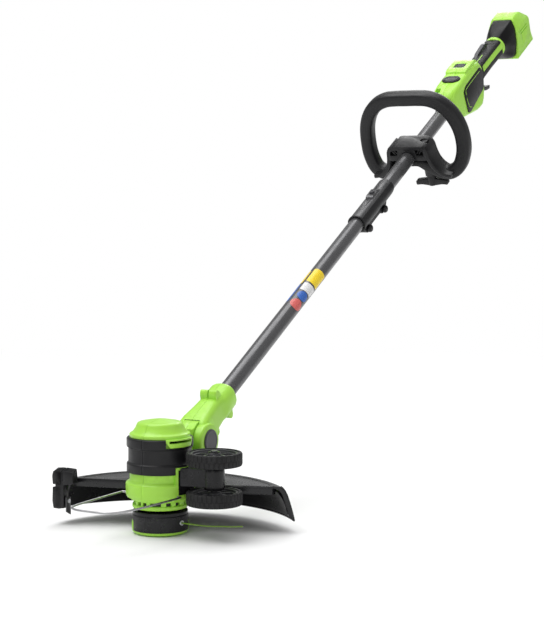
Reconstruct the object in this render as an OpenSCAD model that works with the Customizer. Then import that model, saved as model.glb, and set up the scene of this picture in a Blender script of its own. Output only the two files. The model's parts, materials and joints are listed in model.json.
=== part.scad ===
// Battery string trimmer: tilting motor head with bump-feed line spool, guard,
// edging wheels, two-piece shaft with coupler, loop handle and rear control housing.
// Frame: +Z up along the spool axis, origin at the bottom of the bump knob,
// the shaft rises towards +Y in the plane X = 0.

/* [Shaft] */
// Outer diameter of both shaft tubes
tube_d = 26; // [25:0.5:27]
// Wall thickness of the shaft tubes
tube_wall = 1.6; // [1.2:0.2:2.4]
// Angle of the shaft above the ground with the head level
shaft_angle = 28.5; // [24:0.5:34]
// Distance from the head pivot to the end of the lower tube
lower_tube_end = 705; // [700:1:712]
// Distance from the head pivot to the end of the upper tube
upper_tube_end = 1180; // [1170:1:1190]

/* [Motor head] */
// Radius of the wide skirt of the motor housing
skirt_r = 48.1; // [47:0.1:49]
// Radius of the motor housing above the skirt
housing_r = 42.5; // [42:0.1:43]
// Outer radius of the two ribs of the black band
band_rib_r = 46.7; // [46:0.1:47]
// Outer radius of the black band between its ribs
band_r = 44.3; // [44:0.1:45]
// Height of the top of the green dome
dome_top_z = 160; // [158:1:164]
// Distance of the tilt pivot behind the spool axis
pivot_y = 92; // [90:0.5:96]
// Height of the tilt pivot
pivot_z = 118; // [114:0.5:120]

/* [Spool] */
// Outer radius of the spool drum
drum_r = 39.5; // [39:0.1:40]
// Radius of the bump knob
knob_r = 24; // [22:0.5:26]
// Travel of the bump knob
knob_travel = 5; // [4:0.5:5.5]
// Diameter of the cutting line
line_d = 2; // [1.6:0.1:2.4]

/* [Guard] */
// Height of the top face of the guard deck
guard_top_z = 66; // [65:0.5:67]
// Lowest edge of the guard skirt
guard_low_z = 17; // [16:1:24]
// Radius of the guard deck straight behind the head
guard_back_r = 130; // [126:1:136]

/* [Edging wheels] */
// Radius of the wheels over the tyres
wheel_r = 39; // [37:0.5:39]
// Sideways distance of the wheel axle from the spool axis
wheel_x = 88; // [88:0.5:90]

/* [Front handle] */
// Place of the loop along the shaft, from the head pivot
loop_y = 895; // [880:1:920]
// Thickness of the loop across its bend
loop_w = 26; // [22:0.5:28]
// Thickness of the loop along the shaft
loop_t = 28; // [24:0.5:30]

/* [Rear housing] */
// Half width of the control housing
control_hw = 25; // [24:0.5:27]
// Half width of the battery housing
dock_hw = 32; // [31:0.5:36]
// Radius of the rear grip over its rubber cover
grip_r = 18.5; // [18:0.25:19.5]

/* [Hidden] */
$fn = 64;

green = "#8fd13a";
black = "#28282b";
steel = "#b8bcc0";
gap = 0.05;              // radial clearance of a running fit
far = 400;               // larger than any housing
tube_r = tube_d / 2;
shaft_rise = 9;          // height of the shaft axis above the pivot, square to the shaft
pin_r = 6;
knuckle_r = 24;
ear_r = 26;
ear_in = 13;             // inner face of the neck's ears
ear_out = 27;            // outer face of the neck's ears
wall = 2.6;

skirt_z = 51.5;
ridge_z = 72.5;
band_z = 86.6;
band_top_z = 135.8;
stator_z = 98;
stator_h = 26;
bearing_r = 11;
shaft_r = 4;
fan_r = 27;
drum_top_z = 32.9;
cap_z = 5.4;
hub_z = 22;              // lower end of the drum's hub
knob_h = 6;
reel_z = knob_h + knob_travel + 2;
eyelet_angle = -10;
clip_angle = 40;
vent_angle = -17;        // exhaust opening, round the spool axis
line_z = 18;

fold_y = -22;            // hinge line of the wire edge guard
fold_z = 57;
wire_r = 1.5;

wheel_zs = [110.7, 56.4];
wheel_h = 18.6;
axle_r = 5;
cap_y0 = 847;            // front face of the handle clamp
cap_y1 = 893;
bolt_x = 27;             // handle bolt beside the tube
bolt_y = 875;
grip_y0 = 1207.2;
grip_y1 = 1324;
core_r = 16;             // clamshell core under the grip cover
trigger_y = 1222;
trigger_z = -10;
lever_y = 1243;
lever_z = 8;
release_y = 689;
sleeve_y0 = 612;
sleeve_y1 = 744;
sleeve_r = 15.6;
power_y = 1095;
display_y = 1146;
control_top_z = 40;

// The free cutting line, from the eyelet to its cut end
line_route = [[35, -6.2, 18], [41, -7.2, 18], [50, -8.6, 18], [60, -9, 18], [70, -8, 17.5], [80, -4.5, 17],
    [89, 1, 16.5], [97, 8, 16], [104, 15, 15], [110, 22, 14.5], [116, 29, 14]];

// Wire edge guard in plan, from one hinge end to the other
wire_route = [[-40, -22], [-44, -22], [-47, -23], [-48, -27], [-48, -60], [-47, -100], [-46, -135],
    [-42, -152], [-34, -161], [-22, -166], [0, -167], [18, -166], [29, -160], [35, -150], [39.5, -134],
    [44, -100], [46.5, -60], [48, -27], [47, -23], [44, -22], [40, -22]];

// Half of the loop handle's centre line, as [x, height over the shaft axis]
loop_half = [[0, 98], [22, 98], [42, 96], [62, 87], [79, 69], [90, 44], [94, 16], [92, -10],
    [82, -32], [64, -42], [44, -37], [27, -28], [13, -23]];
loop_mirror = [for (i = [len(loop_half) - 1 : -1 : 1]) [-loop_half[i][0], loop_half[i][1]]];
loop_all = concat(loop_half, [[0, -22]], loop_mirror);

// Screws that join the motor housing halves, as [y, z, half length]
housing_screw_spots = [[-33, 79, 20], [33, 79, 20], [-27, 142, 13], [70, 137, 9]];
// Screws that join the neck halves, as [y, z, half length] in the shaft's frame
neck_screw_spots = [[64, 27, 14], [84, -22, 13], [40, -22, 14]];
// Screws that join the rear clamshell, as [y, z, half length] in the shaft's frame
shell_screw_spots = [[1058, -20, 17], [1150, -38, 22], [1192, 26, 17], [1312, 0, 12], [1400, -41.5, 24],
    [1412, 29, 20]];

// ---- helpers -------------------------------------------------------------

// Frame along the shaft: Y from the head pivot up the tube, Z square to it from the tube's axis
module shaft_frame() translate([0, pivot_y, pivot_z]) rotate([shaft_angle, 0, 0])
    translate([0, 0, shaft_rise]) children();

// Cylinder along Y
module rod(r, y0, y1, x = 0, z = 0) translate([x, y0, z]) rotate([-90, 0, 0]) cylinder(r = r, h = y1 - y0);

// Cylinder along X
module bar(r, x0, x1, y = 0, z = 0) translate([x0, y, z]) rotate([0, 90, 0]) cylinder(r = r, h = x1 - x0);

module box(x0, x1, y0, y1, z0, z1) translate([x0, y0, z0]) cube([x1 - x0, y1 - y0, z1 - z0]);

// Side outline in Y and Z, pulled out from x0 to x1
module slab(points, x0, x1) translate([x0, 0, 0]) rotate([90, 0, 90]) linear_extrude(x1 - x0) polygon(points);

// Keeps the half of the children on one side of the seam plane X = 0
module half(side) intersection() {
    children();
    translate([side > 0 ? 0 : -far, -far, -far]) cube([far, 2200, 2200]);
}

// Turned body from an outline of [radius, height]
module turned(points) rotate_extrude() polygon(points);

module ring(r_in, r_out, z0, z1) difference() {
    translate([0, 0, z0]) cylinder(r = r_out, h = z1 - z0);
    translate([0, 0, z0 - 1]) cylinder(r = r_in, h = z1 - z0 + 2);
}

function unit(v) = v / norm(v);
function at(list, i) = list[(i + len(list)) % len(list)];

// Point on a smooth curve through a list of points
function blend_4(a, b, c, d, t) =
    0.5 * (2 * b + (c - a) * t + (2 * a - 5 * b + 4 * c - d) * t * t + (3 * b - 3 * c + d - a) * t * t * t);

// One ring of a swept tube: half sizes w and h, across and along up
function tube_ring(p, t, up, w, h, n) =
    let (side = unit(cross(t, up)), top = unit(cross(side, t)))
    [for (k = [0 : n - 1]) p + side * w * cos(360 * k / n) + top * h * sin(360 * k / n)];

// Rings along an open path of points
function path_rings(path, up, r, n) = let (last = len(path) - 1)
    [for (i = [0 : last]) tube_ring(path[i], unit(path[min(i + 1, last)] - path[max(i - 1, 0)]), up, r, r, n)];

// Upright block with two round ends, centred, long side along X
module stadium(half, r, h) {
    for (side = [-1, 1]) translate([side * half, 0, 0]) cylinder(r = r, h = h);
    translate([-half, -r, 0]) cube([2 * half, 2 * r, h]);
}

// Closed solid through rings that have the same number of points
module skin(rings, loop = false) {
    n = len(rings[0]);
    m = len(rings);
    spans = loop ? m : m - 1;
    sides = [for (i = [0 : spans - 1], j = [0 : n - 1])
        let (a = i * n, b = ((i + 1) % m) * n, k = (j + 1) % n)
        each [[a + j, b + j, b + k], [a + j, b + k, a + k]]];
    caps = loop ? [] : [[for (j = [0 : n - 1]) j], [for (j = [n - 1 : -1 : 0]) (m - 1) * n + j]];
    polyhedron(points = [for (r = rings) each r], faces = concat(sides, caps));
}

// Screw along X through both halves, with a pan head on the -X side
module cross_screw(spot, shank_r = 1.8) {
    bar(shank_r, -spot[2], spot[2], spot[0], spot[1]);
    bar(shank_r * 1.8, -spot[2] - 2.2, -spot[2], spot[0], spot[1]);
}
module cross_screw_hole(spot, shank_r = 1.8) {
    bar(shank_r + gap, -spot[2] - far, spot[2] + 0.2, spot[0], spot[1]);
    bar(shank_r * 1.8 + 0.4, -far, -spot[2], spot[0], spot[1]);
}

// ---- motor head ----------------------------------------------------------

module housing_body() {
    turned([[skirt_r - 2.1 - wall, skirt_z], [skirt_r - 2.1, skirt_z], [skirt_r, skirt_z + 4], [skirt_r, ridge_z],
        [housing_r, ridge_z + 2.5], [housing_r, band_z], [band_r - 3.2, band_z], [band_r - 3.2, band_top_z],
        [housing_r, band_top_z], [housing_r, 140.7], [37.5, 144.2], [33, 149.6], [29, 155.8], [15, 158.8],
        [0, dome_top_z], [0, dome_top_z - 4], [bearing_r + gap, dome_top_z - 4.5], [bearing_r + gap, 146],
        [bearing_r + 4, 146], [bearing_r + 4, 154], [27, 152], [38.4, 138], [38.4, 125], [34.1, 124.2],
        [34.1, stator_z - 0.2], [38.4, stator_z - 2], [38.4, 70.2], [bearing_r + 4, 70.2], [bearing_r + 4, 69],
        [bearing_r + gap, 69], [bearing_r + gap, 61.8], [bearing_r - 2, 61.8], [bearing_r - 2, 60],
        [skirt_r - 2.1 - wall, 60]]);
    // Arm and knuckle that carry the tilt pivot
    box(-12.5, 12.5, 39.5, pivot_y, 97.5, 139);
    bar(knuckle_r, -12.5, 12.5, pivot_y, pivot_z);
    // Foot for the guard
    box(-24, 24, 40, 64, guard_top_z + 0.1, 76);
    for (spot = housing_screw_spots) if (spot[1] < 100) bar(5, -spot[2], spot[2], spot[0], spot[1]);
}

module housing_cuts() {
    bar(pin_r + 0.06, -30, 30, pivot_y, pivot_z);
    for (spot = housing_screw_spots) cross_screw_hole(spot);
    // Exhaust slot under the dome
    rotate([0, 0, vent_angle]) translate([42, 0, 131]) cube([12, 26, 6], center = true);
    // Window for the wheel bracket's tenon
    box(38, 60, -9.1, 9.1, 74.9, 84.1);
    // Holes for the hinge ends of the wire edge guard
    bar(wire_r + gap, -60, 60, fold_y, fold_z);
    for (x = [-16, 16]) translate([x, 54, 60]) cylinder(r = 2.05, h = 14);
    // Passage for the leads
    rod(5, 30, 75, 0, 128);
}

module housing_half(side) half(side) difference() {
    housing_body();
    housing_cuts();
}
module housing_left() color(green) housing_half(-1);
module housing_right() color(green) housing_half(1);

module motor_band() color(black) difference() {
    turned([[41.15, band_z + 0.1], [band_rib_r, band_z + 0.1], [band_rib_r, 99.7], [band_r, 100.7], [band_r, 121.7],
        [band_rib_r, 122.7], [band_rib_r, band_top_z - 0.1], [41.15, band_top_z - 0.1]]);
    box(-12.6, 12.6, 30, 60, 97.4, 140);
    rotate([0, 0, vent_angle]) translate([42, 0, 131]) cube([16, 27, 7], center = true);
    box(36, 60, -23, 23, 80, 97.2);
}

module vent_ring() color(green) difference() {
    turned([[33, 36.4], [38, 36.4], [39, 38], [39, 42.6], [37.5, 43.2], [37.5, 47], [40.5, 47.8], [42.6, 51.3],
        [42.6, 59.9], [40, 59.9], [33, 50]]);
    for (k = [0 : 11]) rotate([0, 0, 30 * k + 8]) translate([36, 0, 45.1]) cube([12, 12, 4], center = true);
    bar(wire_r + 1.5, -60, 60, fold_y, fold_z);
}

module stator() color("#8a8d90") difference() {
    union() {
        ring(30, 34, stator_z, stator_z + stator_h);
        for (k = [0 : 8]) rotate([0, 0, 40 * k]) box(19.5, 30.5, -2.2, 2.2, stator_z, stator_z + stator_h);
        for (k = [0 : 8]) rotate([0, 0, 40 * k]) box(22, 28, -5, 5, stator_z - 2, stator_z + stator_h + 2);
    }
    translate([0, 0, stator_z - 5]) cylinder(r = 19.3, h = 40);
}

module bearings() color(steel) {
    ring(shaft_r + gap, bearing_r, 62, 69);
    ring(shaft_r + gap, bearing_r, 148, 155);
}

module housing_screws() color(steel) for (spot = housing_screw_spots) cross_screw(spot);

// ---- guard ---------------------------------------------------------------

guard_a0 = 26;           // right end of the deck, degrees round the spool axis
guard_a1 = 183;          // left end of the deck
guard_steps = 26;
guard_flare = 22;
deck_t = 3;
function guard_r(a) = guard_back_r + (a < 105 ? 36 : 16) * pow((a - 105) / 78, 2);
function guard_angle(i) = guard_a0 + (guard_a1 - guard_a0) * i / guard_steps;
function polar(r, a, z) = [r * cos(a), r * sin(a), z];
deck_edge = [for (i = [0 : guard_steps])
    let (a = guard_angle(i), r = guard_r(a) - deck_t / 2) [r * cos(a), r * sin(a)]];
skirt_rings = [for (i = [0 : guard_steps])
    let (a = guard_angle(i), r = guard_r(a), low = guard_low_z + 4 * pow((a - 105) / 78, 2))
    [polar(r - deck_t, a, guard_top_z), polar(r, a, guard_top_z),
     polar(r + guard_flare * 0.35, a, (guard_top_z + low) / 2), polar(r + guard_flare, a, low),
     polar(r + guard_flare - deck_t, a, low), polar(r + guard_flare * 0.35 - deck_t, a, (guard_top_z + low) / 2)]];

// Plan of the lip, along the open front of the deck
guard_lip = [deck_edge[1], deck_edge[1] - [2, 7], [60, 38], [-60, 15], at(deck_edge, -2) - [0, 6.5],
    at(deck_edge, -2), [-60, 18.5], [60, 41.5]];

module guard() color(black) difference() {
    union() {
        difference() {
            union() {
                translate([0, 0, guard_top_z - deck_t]) linear_extrude(deck_t - 0.3) polygon(deck_edge);
                translate([0, 0, guard_top_z - 12]) linear_extrude(11.7) polygon(guard_lip);
                translate([0, 0, 52]) cylinder(r = 52, h = guard_top_z - 52.3);
            }
            translate([0, 0, 40]) cylinder(r = skirt_r + 0.3, h = 40);
            // The deck is open in front of the head
            translate([0, 0, 50]) linear_extrude(20) polygon([[-60, -60], [60, -60], [60, 37], [-60, 14]]);
        }
        skin(skirt_rings);
    }
    for (x = [-16, 16]) translate([x, 54, 40]) cylinder(r = 2.3, h = 40);
}

// Ribbed end block of the guard that carries the line cutter
fin_a = 184;
module on_guard_end() rotate([0, 0, fin_a]) children();
module guard_fins() color(black) on_guard_end() difference() {
    union() {
        box(146.8, 165, 0.4, 15, 19, 62);
        for (k = [0 : 3]) box(148, 168, 0.4 + 4 * k, 3 + 4 * k, 20, 74);
        box(146.8, 148.4, 0.4, 15, 19, 72);
    }
    bar(1.6, 140, 160, 7.7, 34);
}
module cutter_blade() color(steel) on_guard_end() difference() {
    slab([[1, 13], [13, 19], [13, 40], [1, 40]], 145.2, 146.7);
    bar(1.6, 140, 160, 7.7, 34);
}
module guard_screws() color(steel) {
    for (x = [-16, 16]) {
        translate([x, 54, 60.4]) cylinder(r = 2, h = 13);
        translate([x, 54, 58]) cylinder(r = 4, h = 2.4);
        translate([x, 54, 60.4]) cylinder(r = 4, h = guard_top_z - deck_t - 60.5);
    }
    on_guard_end() {
        bar(1.5, 145, 157, 7.7, 34);
        bar(3, 143.4, 145.1, 7.7, 34);
    }
}

// ---- wheels --------------------------------------------------------------

bracket_z = (wheel_zs[0] + wheel_zs[1]) / 2;
module wheel_bracket() color(black) difference() {
    union() {
        translate([0, 0, 71.5]) linear_extrude(25.5)
            polygon([[48.4, -10], [wheel_x, -12], [wheel_x, 12], [48.4, 10]]);
        // Saddle on the band
        difference() {
            translate([0, 0, 88]) linear_extrude(9) polygon([[40, -22], [60, -13], [60, 13], [40, 22]]);
            translate([0, 0, 80]) cylinder(r = 45, h = 30);
        }
        translate([wheel_x, 0, 67.6]) cylinder(r = 14, h = 30.4);
        box(39, 50, -9, 9, 75, 84);
    }
    translate([wheel_x, 0, 20]) cylinder(r = axle_r + gap, h = 120);
}
module axle() color(steel) translate([wheel_x, 0, wheel_zs[1] - 11.5])
    cylinder(r = axle_r, h = wheel_zs[0] - wheel_zs[1] + 23);
module axle_clips() color(steel) for (z = [wheel_zs[1] - 9.9, wheel_zs[0] + 8.9]) translate([wheel_x, 0, z])
    ring(axle_r + 0.02, 8.2, 0, 1);

module wheel_hub(z) translate([wheel_x, 0, z]) difference() {
    union() {
        ring(axle_r + gap, 10, -8.6, 8.6);
        ring(30, 33.5, -8.2, 8.2);
        ring(9, 31, -3, 3);
        for (k = [0 : 5]) rotate([0, 0, 60 * k]) box(9, 31, -1.6, 1.6, -7, 7);
    }
    for (k = [0 : 5]) rotate([0, 0, 60 * k + 30]) translate([20.5, 0, -9]) cylinder(r = 6.2, h = 18);
}
module wheel_tyre(z) translate([wheel_x, 0, z]) difference() {
    turned([[33.6, -wheel_h / 2], [38, -wheel_h / 2], [wheel_r, -wheel_h / 2 + 2.4], [wheel_r, -1], [wheel_r - 1, 0],
        [wheel_r, 1], [wheel_r, wheel_h / 2 - 2.4], [38, wheel_h / 2], [33.6, wheel_h / 2]]);
    for (k = [0 : 23]) rotate([0, 0, 15 * k]) box(wheel_r - 1.1, wheel_r + 2, -0.8, 0.8, -12, 12);
}
module wheel_top_hub() color("#3c3c40") wheel_hub(wheel_zs[0]);
module wheel_top_tyre() color(black) wheel_tyre(wheel_zs[0]);
module wheel_low_hub() color("#3c3c40") wheel_hub(wheel_zs[1]);
module wheel_low_tyre() color(black) wheel_tyre(wheel_zs[1]);

module wire_guard() color(steel) {
    skin(path_rings([for (p = wire_route) [p[0], p[1], fold_z]], [0, 0, 1], wire_r, 8));
}

// ---- rotor and spool -----------------------------------------------------

module motor_shaft() color(steel) translate([0, 0, hub_z + 1]) cylinder(r = shaft_r, h = 154 - hub_z);
module rotor() color("#55585c") ring(shaft_r + 0.02, 18.8, stator_z - 1, stator_z + stator_h + 1);
module fan() color(black) {
    ring(shaft_r + 0.02, 9, 74, 90);
    ring(8.5, fan_r, 74, 75.6);
    for (k = [0 : 8]) rotate([0, 0, 40 * k]) box(8.6, fan_r - 0.5, -0.8, 0.8, 75, 86);
}

module spool_housing() color(black) difference() {
    turned([[drum_r - 3, cap_z + 0.1], [drum_r, cap_z + 0.1], [drum_r, 27], [drum_r - 0.8, 28],
        [drum_r - 0.8, drum_top_z], [9, drum_top_z], [9, 58], [shaft_r + 0.02, 58], [shaft_r + 0.02, hub_z],
        [9, hub_z], [9, drum_top_z - 2], [drum_r - 3, drum_top_z - 3]]);
    for (a = [0, 180]) rotate([0, 0, eyelet_angle + a]) bar(2.85, 30, 45, 0, line_z);
    for (a = [0, 180]) rotate([0, 0, clip_angle + a]) box(34, 45, -7.2, 7.2, 4, 20.2);
}
module spool_cap() color(green) {
    turned([[knob_r + 0.4, 1], [35.5, 1], [37.4, 1.8], [38.4, 3.6], [38.4, cap_z], [knob_r + 0.4, cap_z]]);
    for (a = [0, 180]) rotate([0, 0, clip_angle + a]) {
        box(36.6, 39.3, -6.8, 6.8, cap_z - 1.5, 18);
        box(36.6, 40, -5, 5, 13, 15);
    }
}
module line_spool() color("#3a3a3e") {
    ring(9.5, 14, reel_z, 29.4);
    ring(9.5, 33.6, reel_z, reel_z + 1.4);
    ring(9.5, 33.6, 28, 29.4);
}
module line_winding() color("#a6dc4c") turned([[14.1, reel_z + 1.6], [30, reel_z + 1.6], [31.4, 17],
    [31.8, 21], [31.4, 25.4], [30, 27.8], [14.1, 27.8]]);
module eyelets() color(steel) for (a = [0, 180]) rotate([0, 0, eyelet_angle + a]) difference() {
    union() {
        bar(2.8, 34.6, 39.6, 0, line_z);
        bar(3.9, 39.6, 41, 0, line_z);
    }
    bar(1.4, 30, 45, 0, line_z);
}
module feed_spring() color(steel) skin(path_rings([for (i = [0 : 96])
    [6.9 * cos(22.5 * i), 6.9 * sin(22.5 * i), 7.1 + (hub_z - 8.2) * i / 96]], [0, 0, 1], 0.8, 6));
module bump_knob() color(black) difference() {
    turned([[0, 0], [20, 0], [knob_r - 1, 1], [knob_r, 3], [knob_r, knob_h], [0, knob_h]]);
    for (k = [0 : 5]) rotate([0, 0, 60 * k]) translate([knob_r + 1.5, 0, -1]) cylinder(r = 4, h = 3);
}
module cutting_line() color("#9bd94a") skin(path_rings(line_route, [0, 0, 1], line_d / 2, 8));

// ---- neck and lower shaft, in the shaft's frame --------------------------

neck_side = [[0, 17], [30, 20.5], [66, 21], [105, 19], [105, -19], [58, -20.5], [24, -31], [0, -35]];
neck_plan = [[-27, 0], [-27, 24], [-21, 52], [-20, 106], [20, 106], [21, 52], [27, 24], [27, 0]];

module neck_body() difference() {
    union() {
        intersection() {
            slab(neck_side, -30, 30);
            translate([0, 0, -40]) linear_extrude(80) polygon(neck_plan);
        }
        bar(ear_r, -ear_out, ear_out, 0, -shaft_rise);
        bar(6.5, -16, 16, 64, 27);
        box(-16, 16, 58, 70, 15, 27);
        bar(5.5, -15, 15, 84, -22);
    }
    // Fork for the head's knuckle
    bar(knuckle_r + 6.5, -ear_in, ear_in, 0, -shaft_rise);
    box(-ear_in, ear_in, -40, 0, -60, 40);
    bar(pin_r + gap, -40, 40, 0, -shaft_rise);
    rod(tube_r + gap, 33, 120);
    for (spot = neck_screw_spots) cross_screw_hole(spot);
}
module neck_left() color(green) shaft_frame() half(-1) neck_body();
module neck_right() color(green) shaft_frame() half(1) neck_body();
module neck_screws() color(steel) shaft_frame() for (spot = neck_screw_spots) cross_screw(spot);
module pivot_pin() color(steel) shaft_frame() bar(pin_r, -26.8, 26.8, 0, -shaft_rise);
module pivot_caps() color("#4a4a4e") shaft_frame() {
    bar(17.5, ear_out + 0.1, ear_out + 2.6, 0, -shaft_rise);
    bar(17.5, -ear_out - 2.6, -ear_out - 0.1, 0, -shaft_rise);
}

module tube(y0, y1) difference() {
    rod(tube_r, y0, y1);
    rod(tube_r - tube_wall, y0 - 1, y1 + 1);
}
module lower_tube() color("#5a5a5e") shaft_frame() tube(34, lower_tube_end);
module lower_cable() color(black) shaft_frame() {
    rod(3.5, 40, lower_tube_end - 20);
    rod(10, lower_tube_end - 20, lower_tube_end - 2);
}

// ---- coupler and upper shaft, in the shaft's frame -----------------------

module coupler() color("#35353a") shaft_frame() difference() {
    union() {
        rod(sleeve_r, sleeve_y0, sleeve_y1);
        // Clamp ears under the sleeve
        box(-7.5, 7.5, sleeve_y0 + 14, sleeve_y1 - 22, -24, -12);
        bar(7, -8, 8, 634, -21);
        bar(7, -8, 8, 702, -21);
        // Collar of the release button
        translate([0, release_y, 12]) cylinder(r = 7, h = 7);
    }
    rod(tube_r + gap, sleeve_y0 - 1, sleeve_y1 + 1);
    // Slit of the clamp
    box(-1, 1, sleeve_y0 - 1, sleeve_y1 - 60, -40, -10);
    // Pointed cut of the upper end
    slab([[sleeve_y1 - 26, -30], [sleeve_y1 + 8, 4], [sleeve_y1 + 8, -30]], -30, 30);
    translate([0, release_y, 0]) cylinder(r = 4.5 + gap, h = 30);
    for (y = [634, 702]) bar(2.5 + gap, -20, 20, y, -21);
}
module coupler_bolts() color("#3a3a3e") shaft_frame() for (y = [634, 702]) {
    bar(2.5, -9, 10, y, -21);
    bar(5.5, 8.1, 14, y, -21);
    bar(4.5, -11, -8.1, y, -21);
}
module release_button() color("#46464a") shaft_frame() translate([0, release_y, 0]) {
    translate([0, 0, tube_r + 3]) cylinder(r = 4.5, h = 5.5);
}
module upper_tube() color("#5a5a5e") shaft_frame() tube(lower_tube_end + 1, upper_tube_end);
module upper_cable() color(black) shaft_frame() {
    rod(10, lower_tube_end + 2, lower_tube_end + 20);
    rod(3.5, lower_tube_end + 20, upper_tube_end - 4);
}

// ---- front handle, in the shaft's frame ----------------------------------

function loop_lean(z) = loop_y - 12 * pow(max(0, (40 - z) / 70), 2);
function loop_depth(p) = loop_t + 20 * pow(max(0, 1 - norm([p[0], p[1] + 24]) / 62), 1);
loop_fine = [for (i = [0 : len(loop_all) - 1], t = [0, 0.5])
    blend_4(at(loop_all, i - 1), at(loop_all, i), at(loop_all, i + 1), at(loop_all, i + 2), t)];
function loop_point(i) = let (p = at(loop_fine, i)) [p[0], loop_lean(p[1]), p[1]];
loop_rings = [for (i = [0 : len(loop_fine) - 1])
    tube_ring(loop_point(i), unit(loop_point(i + 1) - loop_point(i - 1)), [0, 1, 0], loop_w / 2,
        loop_depth(at(loop_fine, i)) / 2, 12)];

module handle_loop() color(black) shaft_frame() difference() {
    skin(loop_rings, true);
    rod(tube_r + gap, 700, 1000);
    box(-40, 45, cap_y0 - 20, cap_y1 + 20, -3.9, 12);
    translate([bolt_x, bolt_y, -80]) cylinder(r = 3 + gap, h = 100);
    translate([bolt_x, bolt_y, -80]) cylinder(r = 9, h = 80 - 46);
}
cap_plan = [[-31, cap_y0], [33, cap_y0], [40, cap_y0 + 8], [40, cap_y1 - 8], [33, cap_y1], [-31, cap_y1]];
module handle_cap() color(black) shaft_frame() difference() {
    intersection() {
        translate([0, 0, -3.6]) linear_extrude(28) polygon(cap_plan);
        rotate([90, 0, 180]) translate([0, 0, cap_y0 - 1]) linear_extrude(cap_y1 - cap_y0 + 2)
            polygon([[33, -4], [33, 16], [25, 24.4], [-36, 24.4], [-42, 18], [-42, -4]]);
    }
    rod(tube_r + gap, 700, 1000);
    // Ribbed pockets of the front face
    for (x = [-27, -19, 19, 27]) box(x - 3.4, x + 3.4, cap_y0 - 1, cap_y0 + 9, 10, 18);
    translate([bolt_x, bolt_y, -10]) cylinder(r = 3 + gap, h = 60);
    translate([bolt_x, bolt_y, 19]) cylinder(r = 5.6, h = 10);
}
module handle_bolt() color(steel) shaft_frame() translate([bolt_x, bolt_y, 0]) {
    translate([0, 0, -63]) cylinder(r = 3, h = 83);
    translate([0, 0, 19.1]) cylinder(r = 5.4, h = 3.4);
}
module handle_knob() color(black) shaft_frame() translate([bolt_x, bolt_y, 0]) difference() {
    union() {
        translate([0, 0, -64]) cylinder(r = 8, h = 17);
        box(-26, 26, -5, 5, -63.5, -55.5);
        for (side = [-1, 1]) translate([side * 25, 0, -64.5]) cylinder(r = 6, h = 9.5);
    }
    translate([0, 0, -70]) cylinder(r = 3 + gap, h = 40);
}

// ---- rear clamshell, in the shaft's frame --------------------------------

control_side = [[1043, -18], [1043, 27], [1056, 37], [1118, control_top_z], [1124, 44], [1172, 44],
    [1190, 38], [1206, 18], [1202, -12], [1184, -30], [1168, -49], [1150, -49], [1062, -27]];
control_plan = [[-19, 1042], [-control_hw, 1064], [-control_hw, 1178], [-18, 1207], [18, 1207],
    [control_hw, 1178], [control_hw, 1064], [19, 1042]];
dock_side = [[1364, -44], [1392, 34], [1424, 35], [1456, 10], [1452, -24], [1458, -44]];
dock_face = [[-dock_hw, -45], [-dock_hw, 12], [-23, 36], [23, 36], [dock_hw, 12], [dock_hw, -45]];

// Solid with one outline seen from the side and one seen from above
module control_solid() intersection() {
    slab(control_side, -control_hw - 1, control_hw + 1);
    translate([0, 0, -60]) linear_extrude(120) polygon(control_plan);
}
module dock_solid() intersection() {
    slab(dock_side, -dock_hw - 1, dock_hw + 1);
    rotate([90, 0, 180]) translate([0, 0, 1300]) linear_extrude(200) polygon(dock_face);
}

module shell_body() difference() {
    union() {
        control_solid();
        rod(core_r, 1195, 1385);
        rod(21, grip_y1 + 0.2, grip_y1 + 7);
        dock_solid();
    }
    // Inside of the control housing
    box(-control_hw + wall, control_hw - wall, 1085, 1186, -26, 30);
    box(-control_hw + wall, control_hw - wall, 1140, 1170, -46, -20);
    rod(tube_r + gap, 1000, 1187);
    // Grip core
    rod(12.5, 1180, 1384);
    // Battery dock, open to the rear
    box(-26, 26, 1396, 1500, -37, 24);
    // Trigger slot and its bearings
    box(-7.4, 7.4, 1208, 1278, -30, 0);
    bar(3 + gap, -9.8, 9.8, trigger_y, trigger_z);
    // Lockout lever slot
    box(-12.4, -4.6, 1236, 1306, 1, 30);
    bar(1.5 + gap, -13.3, -3.4, lever_y, lever_z);
    // Button wells
    translate([0, power_y, 20]) stadium(5, 10.8, 30);
    box(-11.3, 11.3, display_y - 9.3, display_y + 9.3, 20, 60);
    // Side vents of the battery housing
    for (side = [-1, 1], k = [0, 1]) translate([side * dock_hw, 1414 + 9 * k, -4 - 3 * k]) rotate([24, 0, 0])
        cube([30, 2.4, 34], center = true);
    for (spot = shell_screw_spots) cross_screw_hole(spot);
    // Seats of the black side panels
    for (side = [-1, 1]) translate([side * (control_hw + 9), 0, 0]) slab(panel_seat, -10.2, 10.2);
}
panel_side = [[1084, 17], [1098, 24], [1180, 26], [1192, 8], [1180, -20], [1098, -32], [1088, -28]];
panel_seat = [[1083.6, 17.2], [1098, 24.4], [1180.3, 26.4], [1192.4, 8], [1180.3, -20.3], [1098, -32.4],
    [1087.7, -28.4]];

module shell_left() color(green) shaft_frame() half(-1) shell_body();
module shell_right() color(green) shaft_frame() half(1) shell_body();
module shell_screws() color(steel) shaft_frame() for (spot = shell_screw_spots) cross_screw(spot);

module side_panels() color(black) shaft_frame() for (side = [-1, 1]) intersection() {
    translate([side * (control_hw + 0.3), 0, 0]) slab(panel_side, -1.4, 1.4);
    box(-40, 40, 1040, 1206, -60, 60);
}

module tube_collar() color(black) shaft_frame() difference() {
    rod(17, 1034, 1042.8);
    rod(tube_r + gap, 1000, 1100);
}

module grip_cover() color("#222225") shaft_frame() difference() {
    rod(grip_r, grip_y0, grip_y1);
    rod(core_r + 0.05, 1100, 1400);
    box(-11, 11, 1200, grip_y1 + 1, -40, -9);
    box(-13.4, -3.4, 1236, 1306, 2, 30);
}

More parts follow.
